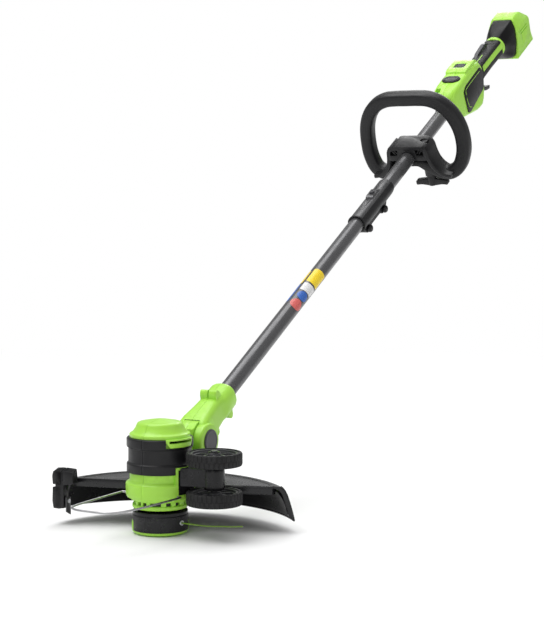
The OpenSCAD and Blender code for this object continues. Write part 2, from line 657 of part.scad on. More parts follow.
function dock_front(z) = 1364 + (z + 44) * 28 / 78;
function funnel_ring(y, k, lean) = [for (j = [0 : 31])
    let (a = 360 * j / 32, c = cos(a), s = sin(a),
        x = k * 29 * sign(c) * pow(abs(c), 0.55) + (1 - k) * 20.5 * c,
        z = k * (-5 + 36 * sign(s) * pow(abs(s), 0.6)) + (1 - k) * 20.5 * s)
    [x, y + lean * (dock_front(z) - 1364), z]];
module funnel_cover() color(black) shaft_frame() difference() {
    skin([funnel_ring(grip_y1 + 7.2, 0, 0), funnel_ring(1340, 0.32, 0), funnel_ring(1352, 0.78, 0.5),
        funnel_ring(1362.6, 1, 1)]);
    rod(core_r + 0.1, 1300, 1420);
}

module control_board() color("#2c7a4b") shaft_frame() box(-20, 20, 1090, 1182, 17.5, 19.5);

module power_button() color("#3d3d41") shaft_frame() translate([0, power_y, 22.5]) stadium(5, 10.5, 20);
module display_button() color("#3d3d41") shaft_frame() box(-11, 11, display_y - 9, display_y + 9, 22.5, 45);

trigger_side = [[1217, -15], [1222, -5], [1232, -5], [1262, -15], [1272, -40], [1266, -58], [1259, -58],
    [1259, -43], [1247, -29], [1226, -19]];
module trigger() color(black) shaft_frame() {
    slab(trigger_side, -7, 7);
    bar(3, -9.5, 9.5, trigger_y, trigger_z);
}
lever_side = [[lever_y - 3, lever_z - 2.5], [lever_y - 3, lever_z + 5], [lever_y + 8, 20.5], [1290, 24], [1300, 22],
    [1302, 15], [1250, lever_z - 1]];
module lockout_lever() color("#77777b") shaft_frame() {
    slab(lever_side, -12, -5);
    bar(1.5, -13.2, -3.6, lever_y, lever_z);
}

module battery_rails() color("#3a3a3e") shaft_frame() {
    box(21, 25.9, 1398, 1446, 12, 16);
    box(-25.9, -21, 1398, 1446, 12, 16);
}
module battery_terminals() color("#c9a24a") shaft_frame() {
    box(-18, 18, 1396.1, 1401, -20, 0);
    for (x = [-12, -4, 4, 12]) box(x - 0.5, x + 0.5, 1401, 1418, -16, -4);
}

housing_left();
housing_right();
motor_band();
vent_ring();
stator();
bearings();
housing_screws();
guard();
guard_fins();
cutter_blade();
guard_screws();
wheel_bracket();
axle();
axle_clips();
motor_shaft();
rotor();
fan();
spool_housing();
spool_cap();
line_spool();
line_winding();
eyelets();
feed_spring();
cutting_line();
bump_knob();
wheel_top_hub();
wheel_top_tyre();
wheel_low_hub();
wheel_low_tyre();
wire_guard();
neck_left();
neck_right();
neck_screws();
pivot_pin();
pivot_caps();
lower_tube();
lower_cable();
coupler();
coupler_bolts();
release_button();
upper_tube();
upper_cable();
handle_loop();
handle_cap();
handle_bolt();
handle_knob();
tube_collar();
shell_left();
shell_right();
shell_screws();
side_panels();
grip_cover();
funnel_cover();
control_board();
power_button();
display_button();
trigger();
lockout_lever();
battery_rails();
battery_terminals();
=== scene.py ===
import json
from math import cos, hypot, pi, radians, sin
import bmesh
import bpy
from mathutils import Matrix, Vector


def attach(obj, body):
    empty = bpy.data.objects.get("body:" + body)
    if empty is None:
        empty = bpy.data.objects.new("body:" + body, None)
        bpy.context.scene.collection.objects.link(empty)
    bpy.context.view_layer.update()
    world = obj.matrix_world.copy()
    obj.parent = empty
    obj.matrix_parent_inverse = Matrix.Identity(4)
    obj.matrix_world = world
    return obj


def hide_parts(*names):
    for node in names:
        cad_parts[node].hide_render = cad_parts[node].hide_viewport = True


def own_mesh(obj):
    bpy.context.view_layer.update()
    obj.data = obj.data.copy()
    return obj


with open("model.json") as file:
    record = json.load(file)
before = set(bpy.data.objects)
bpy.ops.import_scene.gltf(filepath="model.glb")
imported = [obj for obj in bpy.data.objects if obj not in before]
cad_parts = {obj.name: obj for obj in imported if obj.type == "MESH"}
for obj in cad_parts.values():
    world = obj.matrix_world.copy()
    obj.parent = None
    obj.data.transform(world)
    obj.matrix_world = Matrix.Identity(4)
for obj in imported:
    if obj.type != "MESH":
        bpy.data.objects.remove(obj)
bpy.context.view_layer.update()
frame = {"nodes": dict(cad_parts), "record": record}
scene = bpy.context.scene
scene.view_settings.view_transform = "Standard"

# Local frames, in millimetres: the head's, and the one along the shaft
HEAD = Matrix.Scale(0.001, 4)
SHAFT = (Matrix.Translation((0, 0.092, 0.118)) @ Matrix.Rotation(radians(28.5), 4, "X")
         @ Matrix.Translation((0, 0, 0.009)) @ HEAD)
HEAD_BODIES = ("motor_head", "spool_head", "knob", "wheel_top", "wheel_low", "edge_guard")

# Sizes that several pieces share, in millimetres
TUBE = 13
BORE = 13.05
LABEL = 13.12
SCREW_BORE = 3.64
WHEEL_X = 88
CLIP_ANGLES = (40, 220)
EYE_ANGLES = (-10, 170)


# ---- camera, lights, floor -------------------------------------------------

camera = bpy.data.objects.new("camera", bpy.data.cameras.new("camera"))
scene.collection.objects.link(camera)
camera.location = (1.2704, -1.9863, 0.4889)
camera.rotation_euler = (radians(90 - 4.4), 0, radians(28.8))
camera.data.lens = 97.8
camera.data.clip_end = 200
scene.camera = camera


def softbox(name, where, at, size, power):
    """Area light, size in metres, aimed at a point."""
    data = bpy.data.lights.new(name, "AREA")
    data.shape = "RECTANGLE"
    data.size, data.size_y = size
    data.energy = power
    light = bpy.data.objects.new(name, data)
    light.location = where
    light.rotation_euler = (Vector(at) - Vector(where)).to_track_quat("-Z", "Y").to_euler()
    scene.collection.objects.link(light)


softbox("key", (-1.0, -0.6, 3.2), (0, 0.5, 0.3), (2.2, 2.2), 66)
softbox("top", (-0.6, 1.2, 3.6), (0, 0.5, 0.3), (2.6, 2.2), 52)
softbox("fill", (2.8, 0.2, 1.2), (0, 0.5, 0.4), (1.2, 2.0), 7)
softbox("front", (0.9, -3.4, 1.2), (0, 0.4, 0.3), (1.8, 1.2), 16)
softbox("back", (-0.6, 3.6, 2.4), (0, 0.7, 0.4), (2.2, 1.4), 30)

# The backdrop is white to the camera and dimmer as a light
world = bpy.data.worlds.new("studio")
scene.world = world
world.use_nodes = True
sky = world.node_tree.nodes["Background"]
sky.inputs["Color"].default_value = (1, 1, 1, 1)
rays = world.node_tree.nodes.new("ShaderNodeLightPath")
level = world.node_tree.nodes.new("ShaderNodeMapRange")
LIT, SEEN = 0.42, 1.0
for socket, value in zip(level.inputs[1:5], (0, 1, LIT, SEEN)):
    socket.default_value = value
world.node_tree.links.new(rays.outputs["Is Camera Ray"], level.inputs[0])
world.node_tree.links.new(level.outputs[0], sky.inputs["Strength"])


# ---- materials -------------------------------------------------------------

class Shader:
    """A Principled material with a few short ways to wire procedural detail."""

    def __init__(self, name):
        self.material = bpy.data.materials.new(name)
        self.material.use_nodes = True
        self.tree = self.material.node_tree
        self.bsdf = self.tree.nodes["Principled BSDF"]
        self.where = self.node("ShaderNodeTexCoord").outputs["Object"]

    def node(self, kind, **inputs):
        made = self.tree.nodes.new(kind)
        for key, value in inputs.items():
            self.put(made.inputs[key], value)
        return made

    def put(self, socket, value):
        if isinstance(value, bpy.types.NodeSocket):
            self.tree.links.new(value, socket)
        else:
            socket.default_value = value

    def stretched(self, scale):
        return self.node("ShaderNodeMapping", Vector=self.where, Scale=scale).outputs["Vector"]

    def noise(self, size, detail=3.0, vector=None):
        """Noise with features of this size in millimetres."""
        made = self.node("ShaderNodeTexNoise", Scale=1000 / size, Detail=detail)
        self.put(made.inputs["Vector"], vector or self.where)
        return made.outputs["Fac"]

    def ramp(self, value, low, high, to_low=0.0, to_high=1.0):
        made = self.node("ShaderNodeMapRange")
        made.inputs[0].default_value = 0
        for socket, v in zip(made.inputs, (value, low, high, to_low, to_high)):
            self.put(socket, v)
        return made.outputs[0]

    def mix(self, factor, a, b):
        made = self.tree.nodes.new("ShaderNodeMix")
        made.data_type = "RGBA"
        for socket, v in ((made.inputs[0], factor), (made.inputs[6], a), (made.inputs[7], b)):
            self.put(socket, v)
        return made.outputs[2]

    def multiply(self, a, b):
        made = self.tree.nodes.new("ShaderNodeMath")
        made.operation = "MULTIPLY"
        self.put(made.inputs[0], a)
        self.put(made.inputs[1], b)
        return made.outputs[0]

    def bump(self, height, strength, depth, under=None):
        """Bump of this depth in millimetres."""
        made = self.node("ShaderNodeBump", Height=height, Strength=strength, Distance=depth / 1000)
        if under:
            self.put(made.inputs["Normal"], under)
        return made.outputs["Normal"]

    def edges(self, low=0.53, high=0.62):
        """1 on sharp outer edges, broken up by noise."""
        edge = self.ramp(self.node("ShaderNodeNewGeometry").outputs["Pointiness"], low, high)
        return self.multiply(edge, self.ramp(self.noise(6), 0.35, 0.7))


def shade(colour, factor):
    return tuple(min(1.0, c * factor) for c in colour) + (1,)


def moulded(name, colour, rough=0.35, grain=0.5, grain_depth=0.03, spread=0.08, worn=1.35, specular=0.5):
    """Moulded plastic: fine spark-eroded grain, slight flow mottle, scuffs and paler rubbed edges."""
    s = Shader(name)
    mottle = s.mix(s.noise(40, 2), shade(colour, 0.96), shade(colour, 1.04))
    scuff = s.ramp(s.noise(3, 6, s.stretched((1, 6, 3))), 0.62, 0.75)
    scuffed = s.mix(s.multiply(scuff, 0.06), mottle, shade(colour, worn))
    s.put(s.bsdf.inputs["Base Color"], s.mix(s.edges(), scuffed, shade(colour, worn)))
    s.put(s.bsdf.inputs["Roughness"], s.ramp(s.noise(9, 6), 0.3, 0.7, rough - spread, rough + spread))
    s.put(s.bsdf.inputs["Normal"], s.bump(s.noise(grain, 2), 0.35, grain_depth,
                                          s.bump(s.noise(14, 2), 0.12, 0.12)))
    s.bsdf.inputs["Specular IOR Level"].default_value = specular
    return s.material


def rubber(name, colour, rough=0.6):
    """Soft overmoulded rubber: dense pimpled grain and dull wear."""
    s = Shader(name)
    dust = s.ramp(s.noise(16, 5), 0.45, 0.75)
    s.put(s.bsdf.inputs["Base Color"], s.mix(dust, shade(colour, 0.9), shade(colour, 1.4)))
    s.bsdf.inputs["Specular IOR Level"].default_value = 0.3
    s.put(s.bsdf.inputs["Roughness"], s.ramp(s.noise(5, 5), 0.3, 0.7, rough - 0.08, rough + 0.12))
    cells = s.node("ShaderNodeTexVoronoi", Scale=1000 / 1.1, Vector=s.where).outputs["Distance"]
    s.put(s.bsdf.inputs["Normal"], s.bump(cells, 0.4, 0.1, s.bump(s.noise(12), 0.15, 0.15)))
    return s.material


def metal(name, colour, rough=0.3, along=(1, 1, 1), spread=0.08, metallic=1.0):
    """Drawn or turned metal: fine lines along one axis, uneven sheen."""
    s = Shader(name)
    lines = s.noise(0.6, 4, s.stretched(along))
    s.put(s.bsdf.inputs["Base Color"], s.mix(s.noise(25, 4), shade(colour, 0.88), shade(colour, 1.12)))
    s.put(s.bsdf.inputs["Roughness"], s.ramp(lines, 0.3, 0.7, rough - spread, rough + spread))
    s.put(s.bsdf.inputs["Normal"], s.bump(lines, 0.25, 0.02))
    s.bsdf.inputs["Metallic"].default_value = metallic
    return s.material


def coated(name, colour, rough=0.38, metallic=0.55):
    """Powder-coated tube: metallic flake, orange peel and faint lengthwise rubbing."""
    s = Shader(name)
    flake = s.node("ShaderNodeTexVoronoi", Scale=1000 / 0.5, Vector=s.where).outputs["Color"]
    grey = s.node("ShaderNodeSeparateColor", Color=flake).outputs["Red"]
    base = s.mix(grey, shade(colour, 0.93), shade(colour, 1.08))
    rubbed = s.ramp(s.noise(2.5, 5, s.stretched((8, 1, 8))), 0.6, 0.8)
    s.put(s.bsdf.inputs["Base Color"], s.mix(s.multiply(rubbed, 0.1), base, shade(colour, 1.9)))
    s.put(s.bsdf.inputs["Roughness"], s.ramp(s.noise(18, 5), 0.3, 0.7, rough - 0.07, rough + 0.08))
    s.put(s.bsdf.inputs["Normal"], s.bump(s.noise(1.6, 2), 0.05, 0.02))
    s.bsdf.inputs["Metallic"].default_value = metallic
    return s.material


LIME = (0.36, 0.70, 0.07)
MATS = {
    "lime": moulded("lime_moulded", LIME, 0.34, 0.45, 0.015, 0.05, 1.12, 0.4),
    "black": moulded("black_moulded", (0.0085, 0.0085, 0.0095), 0.4, 0.6, 0.04, 0.06, 2.0, 0.3),
    "satin_black": moulded("black_satin", (0.007, 0.007, 0.008), 0.3, 0.9, 0.02, 0.06, 2.0, 0.32),
    "panel_black": moulded("black_panel", (0.0045, 0.0045, 0.005), 0.32, 0.9, 0.02, 0.06, 2.0, 0.18),
    "deck_black": moulded("deck_black", (0.008, 0.008, 0.009), 0.24, 1.2, 0.015, 0.05, 2.0, 0.4),
    "dark_grey": moulded("dark_grey_moulded", (0.03, 0.03, 0.034), 0.4, 0.5, 0.04, 0.08, 1.7, 0.4),
    "grey": moulded("grey_moulded", (0.055, 0.055, 0.062), 0.4, 0.5, 0.04, 0.06, 1.4, 0.4),
    "grip": rubber("grip_rubber", (0.0075, 0.0075, 0.008), 0.5),
    "tyre": rubber("tyre_rubber", (0.013, 0.013, 0.0135), 0.62),
    "tube": coated("tube_coating", (0.115, 0.115, 0.119), 0.27, 0.6),
    "sleeve": coated("sleeve_coating", (0.085, 0.085, 0.088), 0.34, 0.6),
    "steel": metal("turned_steel", (0.62, 0.63, 0.65), 0.3, (1, 1, 8)),
    "wire": metal("wire_steel", (0.4, 0.4, 0.41), 0.3, (6, 1, 6), 0.06),
    "blade": metal("ground_steel", (0.12, 0.12, 0.125), 0.4, (1, 12, 1)),
    "iron": metal("motor_iron", (0.3, 0.3, 0.31), 0.45, (1, 1, 20)),
    "brass": metal("brass", (0.75, 0.56, 0.24), 0.3, (1, 6, 1)),
    "line": moulded("line_nylon", (0.17, 0.32, 0.03), 0.28, 0.4, 0.02, 0.05, 1.2),
    "board": moulded("board_green", (0.02, 0.2, 0.08), 0.25, 0.3, 0.02, 0.05, 1.3),
}

SLOT = {
    "lime": "lime_plastic", "black": "black_plastic", "satin_black": "black_plastic",
    "panel_black": "black_plastic", "deck_black": "black_plastic",
    "dark_grey": "dark_grey_plastic", "grey": "grey_plastic", "grip": "rubber_grip", "tyre": "tyre_rubber",
    "tube": "tube_metal", "sleeve": "coupler_metal", "steel": "steel", "wire": "wire_steel", "blade": "steel",
    "iron": "motor_iron", "brass": "brass_contacts", "line": "line_nylon", "board": "board_green",
}
CAD_LOOK = {}
for look, slot in SLOT.items():
    CAD_LOOK.setdefault(slot, look)
for part in frame["record"]["subparts"]:
    node = frame["nodes"][part["node"]]
    node.data.materials.clear()
    look = "satin_black" if part["node"] in ("handle_bolt", "axle_clips") else CAD_LOOK[part["material_slot"]]
    node.data.materials.append(MATS[look])

floor_mesh = bpy.data.meshes.new("floor")
floor_mesh.from_pydata([(30 * cos(radians(a)), 30 * sin(radians(a)), 0) for a in range(0, 360, 5)], [],
                       [range(72)])
floor = bpy.data.objects.new("floor", floor_mesh)
scene.collection.objects.link(floor)
paper = Shader("floor_paper")
paper.put(paper.bsdf.inputs["Base Color"],
          paper.mix(paper.noise(300, 2), (0.86, 0.86, 0.86, 1), (0.9, 0.9, 0.9, 1)))
paper.bsdf.inputs["Roughness"].default_value = 0.8
glow = paper.node("ShaderNodeEmission")
away = paper.node("ShaderNodeVectorMath", Vector=paper.where)
away.operation = "LENGTH"
blended = paper.node("ShaderNodeMixShader")
for socket, value in zip(blended.inputs, (paper.ramp(away.outputs["Value"], 0.9, 2.6),
                                          paper.bsdf.outputs[0], glow.outputs[0])):
    paper.put(socket, value)
paper.tree.links.new(blended.outputs[0], paper.tree.nodes["Material Output"].inputs["Surface"])
floor_mesh.materials.append(paper.material)


# ---- mesh making, in millimetres -------------------------------------------

def mesh_of(verts, faces):
    bm = bmesh.new()
    made = [bm.verts.new(v) for v in verts]
    for face in faces:
        bm.faces.new([made[i] for i in face])
    return bm


def loft(rings, loop=False):
    """Solid through rings with equal numbers of points, capped at its ends unless it closes on itself."""
    n, m = len(rings[0]), len(rings)
    faces = [(i * n + j, (i + 1) % m * n + j, (i + 1) % m * n + (j + 1) % n, i * n + (j + 1) % n)
             for i in range(m if loop else m - 1) for j in range(n)]
    if not loop:
        faces += [tuple(range(n)), tuple(range((m - 1) * n, m * n))]
    return mesh_of([p for ring in rings for p in ring], faces)


def lathe(profile, steps=96, start=0, end=360):
    """Turned solid from a closed outline of (radius, height); a sector if it turns less than 360 degrees."""
    whole = end - start == 360
    turns = [radians(start + (end - start) * k / steps) for k in range(steps if whole else steps + 1)]
    bm = loft([[(r * cos(a), r * sin(a), z) for r, z in profile] for a in turns], whole)
    bmesh.ops.remove_doubles(bm, verts=bm.verts, dist=1e-4)
    bmesh.ops.delete(bm, geom=[e for e in bm.edges if not e.link_faces], context="EDGES")
    return bm


def fillet(points, cut, steps=4):
    """Closed outline with rounded corners; a third number on a point is its own cut, 0 for sharp."""
    out = []
    for i, point in enumerate(points):
        own = point[2] if len(point) > 2 else cut
        p, a, b = (Vector(q[:2]) for q in (point, points[i - 1], points[(i + 1) % len(points)]))
        if not own:
            out.append(tuple(p))
            continue
        s = p + (a - p).normalized() * min(own, (a - p).length * 0.48)
        e = p + (b - p).normalized() * min(own, (b - p).length * 0.48)
        out += [tuple(s * (1 - t) ** 2 + p * 2 * t * (1 - t) + e * t * t)
                for t in (k / steps for k in range(steps + 1))]
    return out


def prism(outline, low, high, axis="z"):
    """Straight solid from an outline of (x, y) along z, (y, z) along x or (x, z) along y."""
    place = {"z": lambda u, v, w: (u, v, w), "x": lambda u, v, w: (w, u, v),
             "y": lambda u, v, w: (u, w, v)}[axis]
    return loft([[place(u, v, w) for u, v in outline] for w in (low, high)])


def plate(points, cut, low, high, axis="z", steps=4):
    """Straight solid from an outline with rounded corners."""
    return prism(fillet(points, cut, steps), low, high, axis)


def turned(points, cut, steps, corner_steps=4):
    """Turned solid from an outline with rounded corners."""
    return lathe(fillet(points, cut, corner_steps), steps)


def circle(radius, at=(0, 0), steps=48, wide=0):
    """Circle, or with wide a slot this much longer to each side."""
    spots = [(cos(2 * pi * k / steps), sin(2 * pi * k / steps)) for k in range(steps)]
    return [(at[0] + radius * c + (wide if c > 0 else -wide), at[1] + radius * s) for c, s in spots]


def disc(radius, low, high, at=(0, 0), axis="z", steps=48, wide=0):
    return prism(circle(radius, at, steps, wide), low, high, axis)


def bore(low, high, radius=BORE):
    """What the tube leaves open in the parts round it."""
    return disc(radius, low, high, (0, 0), "y", 96)


def recess(low, high, at, radius=SCREW_BORE, steps=32):
    """Round hole across the tool at (y, z)."""
    return disc(radius, low, high, at, "x", steps)


def block(x0, x1, y0, y1, z0, z1, cut=0):
    return prism(fillet([(x0, y0), (x1, y0), (x1, y1), (x0, y1)], cut) if cut
                 else [(x0, y0), (x1, y0), (x1, y1), (x0, y1)], z0, z1)


def placed(bm, matrix):
    bmesh.ops.transform(bm, matrix=matrix, verts=bm.verts)
    return bm


def moved(bm, by):
    return placed(bm, Matrix.Translation(by))


def turn(bm, angle, axis="Z", at=(0, 0, 0)):
    return placed(bm, Matrix.Translation(at) @ Matrix.Rotation(radians(angle), 4, axis))


def joined(*parts):
    whole = bmesh.new()
    for bm in parts:
        mesh = bpy.data.meshes.new("part")
        bmesh.ops.recalc_face_normals(bm, faces=bm.faces)
        bm.to_mesh(mesh)
        bm.free()
        whole.from_mesh(mesh)
        bpy.data.meshes.remove(mesh)
    return whole


def smooth_path(points, steps=6, loop=False):
    """Catmull-Rom curve through points of any dimension."""
    n = len(points)
    pick = (lambda i: points[i % n]) if loop else (lambda i: points[max(0, min(n - 1, i))])
    out = []
    for i in range(n if loop else n - 1):
        a, b, c, d = (Vector(pick(i + k)) for k in (-1, 0, 1, 2))
        for k in range(steps):
            t = k / steps
            out.append(0.5 * (2 * b + (c - a) * t + (2 * a - 5 * b + 4 * c - d) * t * t
                              + (3 * b - 3 * c + d - a) * t ** 3))
    return out if loop else out + [Vector(points[-1])]


def tube(path, radius, steps=16):
    """Round tube along a path, capped at its ends."""
    rings = []
    for i, p in enumerate(path):
        t = (path[min(i + 1, len(path) - 1)] - path[max(i - 1, 0)]).normalized()
        side = t.cross(Vector((0, 0, 1))).normalized()
        top = side.cross(t)
        rings.append([tuple(p + side * radius * cos(2 * pi * k / steps)
                            + top * radius * sin(2 * pi * k / steps))
                      for k in range(steps)])
    return loft(rings)


def bar_ring(y, half_w, top, bottom, round_top, round_low, lift=0.0, steps=5):
    """Rounded box section square to the shaft at y."""
    points = [(half_w, bottom, round_low), (half_w, top, round_top), (-half_w, top, round_top),
              (-half_w, bottom, round_low)]
    return [(x, y + lift * z, z) for x, z in fillet(points, 1, steps)]


def solid(bm):
    bmesh.ops.recalc_face_normals(bm, faces=bm.faces)
    mesh = bpy.data.meshes.new("solid")
    bm.to_mesh(mesh)
    bm.free()
    made = bpy.data.objects.new("solid", mesh)
    scene.collection.objects.link(made)
    return made


def applied(obj):
    """Bakes the modifiers of an object into its mesh."""
    graph = bpy.context.evaluated_depsgraph_get()
    mesh = bpy.data.meshes.new_from_object(obj.evaluated_get(graph))
    obj.modifiers.clear()
    obj.data = mesh
    return obj


def shape(base, add=(), cut=(), keep=()):
    """Object from a solid with others added, cut away or kept in common."""
    obj = base if isinstance(base, bpy.types.Object) else solid(base)
    for tools, how in ((add, "UNION"), (keep, "INTERSECT"), (cut, "DIFFERENCE")):
        for tool in tools:
            other = solid(tool)
            step = obj.modifiers.new("carve", "BOOLEAN")
            step.operation, step.object, step.solver = how, other, "EXACT"
            applied(obj)
            bpy.data.objects.remove(other)
    return obj


def show(obj, name, look, body, stands_for=(), bevel=0.0, edge=30, smooth=34):
    """Finishes a piece: rounds its edges, sets it in the row frame and gives it its material and body."""
    if not isinstance(obj, bpy.types.Object):
        obj = solid(obj)
    obj.name = name
    if bevel:
        step = obj.modifiers.new("round", "BEVEL")
        step.width, step.segments, step.limit_method, step.angle_limit = bevel, 2, "ANGLE", radians(edge)
        step.use_clamp_overlap = True
        applied(obj)
    obj.data.name = name
    obj.data.transform(HEAD if body in HEAD_BODIES else SHAFT)
    obj.data.shade_smooth()
    obj.data.set_sharp_from_angle(angle=radians(smooth))
    obj.data.materials.clear()
    obj.data.materials.append(MATS[look])
    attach(obj, body)
    if stands_for:
        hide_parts(*([stands_for] if isinstance(stands_for, str) else stands_for))
    return obj


def lifted(obj):
    """Takes the mesh out of a working object and removes the object."""
    bm = bmesh.new()
    bm.from_mesh(obj.data)
    bpy.data.objects.remove(obj)
    return bm


def halves(make, names, body, bevel, seam=0.18, far=2400):
    """The left and right half of a lime clamshell, with a fine seam between them."""
    for sides, name in zip(((-far, -seam), (seam, far)), names):
        parts = [lifted(shape(piece, keep=[block(*sides, -far, far, -far, far)])) for piece in make()]
        show(joined(*parts), name + "_shell", "lime", body, name, bevel)


def cross_screws(*spots):
    """Recessed screws across the tool, each as (y, z, far end, near end)."""
    made = []
    for y, z, far, end in spots:
        shank = turned([(0, far, 0), (1.85, far, 0.4), (1.85, end, 0), (3.2, end, 0.2), (3.2, end + 1.6, 0.9),
                        (0, end + 2.1, 0)], 0.2, 32)
        where = Matrix.Translation((0, y, z)) @ Matrix.Rotation(radians(-90), 4, "Y")
        cross = [block(-0.4, 0.4, -1.7, 1.7, end + 1.1, end + 4),
                 block(-1.7, 1.7, -0.4, 0.4, end + 1.1, end + 4)]
        made.append(lifted(shape(placed(shank, where), cut=[placed(c, where) for c in cross])))
    return joined(*made)


# ---- motor head ------------------------------------------------------------

def sector(r_in, r_out, low, high, start, end, cut=0.0, steps=40):
    """Part of a thick ring round the spool axis."""
    outline = [(r_in, low, 0), (r_out, low), (r_out, high), (r_in, high, 0)]
    return lathe(fillet(outline, cut) if cut else [p[:2] for p in outline], steps, start, end)


def housing():
    outline = fillet([
        (38.4, 60, 0), (43.4, 60, 0), (43.4, 51.5), (46.0, 51.5, 1.2), (48.1, 55.8, 2), (48.1, 72.0, 2.2),
        (42.6, 75.6, 1.4), (42.5, 86.6, 0), (41.1, 86.8, 0), (41.1, 135.9, 0), (42.5, 135.9, 0.6),
        (42.6, 140.6, 1.6), (38.4, 142.6, 3), (34.2, 148.6, 3.5), (31.8, 154.8, 1.8), (28.5, 156.4, 1.2),
        (14, 159, 0), (0, 160, 0), (0, 155, 0), (27, 151, 0), (38.4, 138, 0)], 0.8, 5)
    lip = shape(sector(42, 46.3, 124.5, 136.4, -47, 17, 0.8), cut=[
        turn(turn(block(30, 60, *across, -30, 0), lean, "X", (0, 0, 124.5)), at)
        for across, lean, at in (((-20, 0), -52, -39), ((0, 20), 60, 11))])
    arc = [(92 + 29.4 * cos(radians(a)), 118 + 29.4 * sin(radians(a)), 0) for a in range(-80, 137, 8)]
    knuckle = plate([(39, 97.5, 0), (39, 139.5, 0), (57, 139.3, 5), (65.6, 137.0, 3)] + arc[::-1]
                    + [(88, 94, 3),
        (80, 97.5, 4)], 3, -12.4, 12.4, "x", steps=6)
    return [shape(
        lathe(outline, 144),
        add=[lifted(lip), knuckle, block(-24, 24, 40, 64, 66.1, 76, 2),
             sector(42.2, 47.6, 70, 97, -30, 30, 0.8)],
        cut=[sector(36, 60, 130.6, 134.2, -41, 12), sector(44.3, 60, 58.8, 93.6, -25.6, 25.6),
             disc(6.06, -40, 40, (92, 118), "x"),
             recess(-60, 60, (-22, 57), 1.56, 24)])]


halves(housing, ("housing_left", "housing_right"), "motor_head", 0.35)

show(shape(
    turned([(41.2, 86.8, 0), (46.6, 86.8, 1.6), (46.7, 99.5, 1.6), (44.3, 101.4, 0.8), (44.3, 120.9, 0.8),
            (46.7, 122.8, 1.6), (46.6, 135.7, 2.4), (41.2, 135.7, 0)], 1, 144, 5),
    cut=[block(-12.6, 12.6, 30, 60, 97.4, 140), sector(40, 60, 80, 97.2, -30.3, 30.3),
         sector(40, 60, 123.9, 140, -47.4, 17.4),
         block(-0.3, 0.3, -60, -43.6, 80, 140)]),
    "motor_band_ribbed", "black", "motor_head", "motor_band", 0.3)

show(cross_screws((-33, 79, -20, 20), (33, 79, -20, 20), (-27, 142, -13, 13), (70, 133.4, -9, 9)),
     "housing_screw_set", "iron", "motor_head",
     "housing_screws")

VENTS = [(-151, -124), (-112, -104), (-97, -89), (-79, -57), (-44, -34), (-22, -12), (4, 12), (24, 44),
         (56, 66), (78, 102), (114, 124), (136, 158), (170, 180), (191, 200)]
vents = show(shape(
    turned([(33, 36.4, 0), (37.8, 36.4, 0.8), (39, 38, 0.6), (39, 41.5, 0.8), (37.6, 42.2, 0.4),
            (37.6, 47.4, 0.4), (40.6, 48.2, 0.8), (42.6, 51.3, 0), (42.6, 59.9, 0), (40, 59.9, 0),
            (33, 50, 0)], 0.5, 144),
    cut=[sector(34, 50, 42.4, 47.2, a - 1, b + 1, 0, 12) for a, b in VENTS]
    + [recess(-60, 60, (-22, 57), 2.8, 24)]),
    "vent_ring_slotted", "lime", "motor_head", "vent_ring", 0.3)
# The floors of the blind vent pockets and the inner wall behind them are black: painted shade standing in for
# the dark motor inside seen through the vents, partly a black inner collar.
vents.data.materials.append(MATS["black"])
for face in vents.data.polygons:
    if hypot(face.center.x, face.center.y) < 0.0345 and 0.0425 < face.center.z < 0.0471:
        face.material_index = 1

show(shape(
    sector(44.5, 47.9, 59.2, 93.2, -25.2, 25.2, 1.0),
    add=[plate([(45.6, -20, 0), (60, -14, 6), (88, -13.2, 8), (88, 13.2, 8), (60, 14, 6), (45.6, 20, 0)], 1,
               72, 96.4),
         moved(turned([(5.05, 67.6, 0), (13.6, 67.6, 1), (14.6, 71, 1.5), (14.6, 94, 1.5), (13.6, 98, 1),
                       (5.05, 98, 0)], 1, 64), (WHEEL_X, 0, 0))]),
    "wheel_bracket_moulded", "satin_black", "motor_head", "wheel_bracket", 0.7)


# ---- guard -----------------------------------------------------------------

def guard_radius(a):
    return 130 + (36 if a < 105 else 16) * ((a - 105) / 78) ** 2


def guard_low(a):
    return 17 if a < 105 else 17 + 4 * ((a - 105) / 78) ** 2


def polar(r, a, z=None):
    flat = (r * cos(radians(a)), r * sin(radians(a)))
    return flat if z is None else flat + (z,)


def guard_section(a):
    """Outline of the guard's turned-down edge at this angle."""
    low = guard_low(a)
    wide = 4.2 * max(0.0, 1 - (a - 26) / 2.5) + 2.5 * max(0.0, 1 - (183 - a) / 2.5)
    outer = [(-9, 66), (-1, 65.9), (4.2, 64.4), (8.4, 60.6), (11.4, 55), (14, 47.5), (16.6, 39), (18.8, 31),
             (20.6, 24), (21.7, low + 1.4)]
    inner = [(21.9, low), (19.2, low), (17.6 - wide, 24), (15.8 - wide, 31), (13.6 - wide, 38.6),
             (11 - wide, 46.8), (8.4 - wide, 53.4), (5.6 - wide, 58.4), (2.4 - wide, 61.6), (-1.6, 63),
             (-9, 63)]
    return [polar(guard_radius(a) + x, a, z) for x, z in outer + inner]


edge = [polar(guard_radius(26 + 157 * k / 60) - 3, 26 + 157 * k / 60) for k in range(61)]
notch = [polar(48.5, a) for a in range(160, 36, -4)]
deck = prism(edge + [(-60, 15.5), (-52, 17.5)] + notch + [(52, 36.5), (60, 39)], 62.8, 65.7)
lip_right = plate([edge[1], (edge[1][0] - 2, edge[1][1] - 7), (60, 37.5), (52, 34.6), (51, 38.5), (60, 42.5)],
                  0.5, 54, 66, steps=2)
lip_left = plate([(-60, 14.5), (edge[-2][0], edge[-2][1] - 6.5), edge[-2], (-60, 19), (-50, 21.5), (-50, 17)],
                 0.5, 54, 66, steps=2)
rim = tube(smooth_path([polar(guard_radius(a) + 20, a, guard_low(a) + 1.9) for a in range(26, 184, 4)], 3),
           1.8, 10)
ribs = [turn(prism([(50, 62.9), (guard_radius(a) + 1, 62.9), (guard_radius(a) + 3.6, 56),
                    (guard_radius(a) - 12, 58.5), (56, 58.5)],
                   -1, 1, "y"), a) for a in (50, 76, 104, 132, 158)]
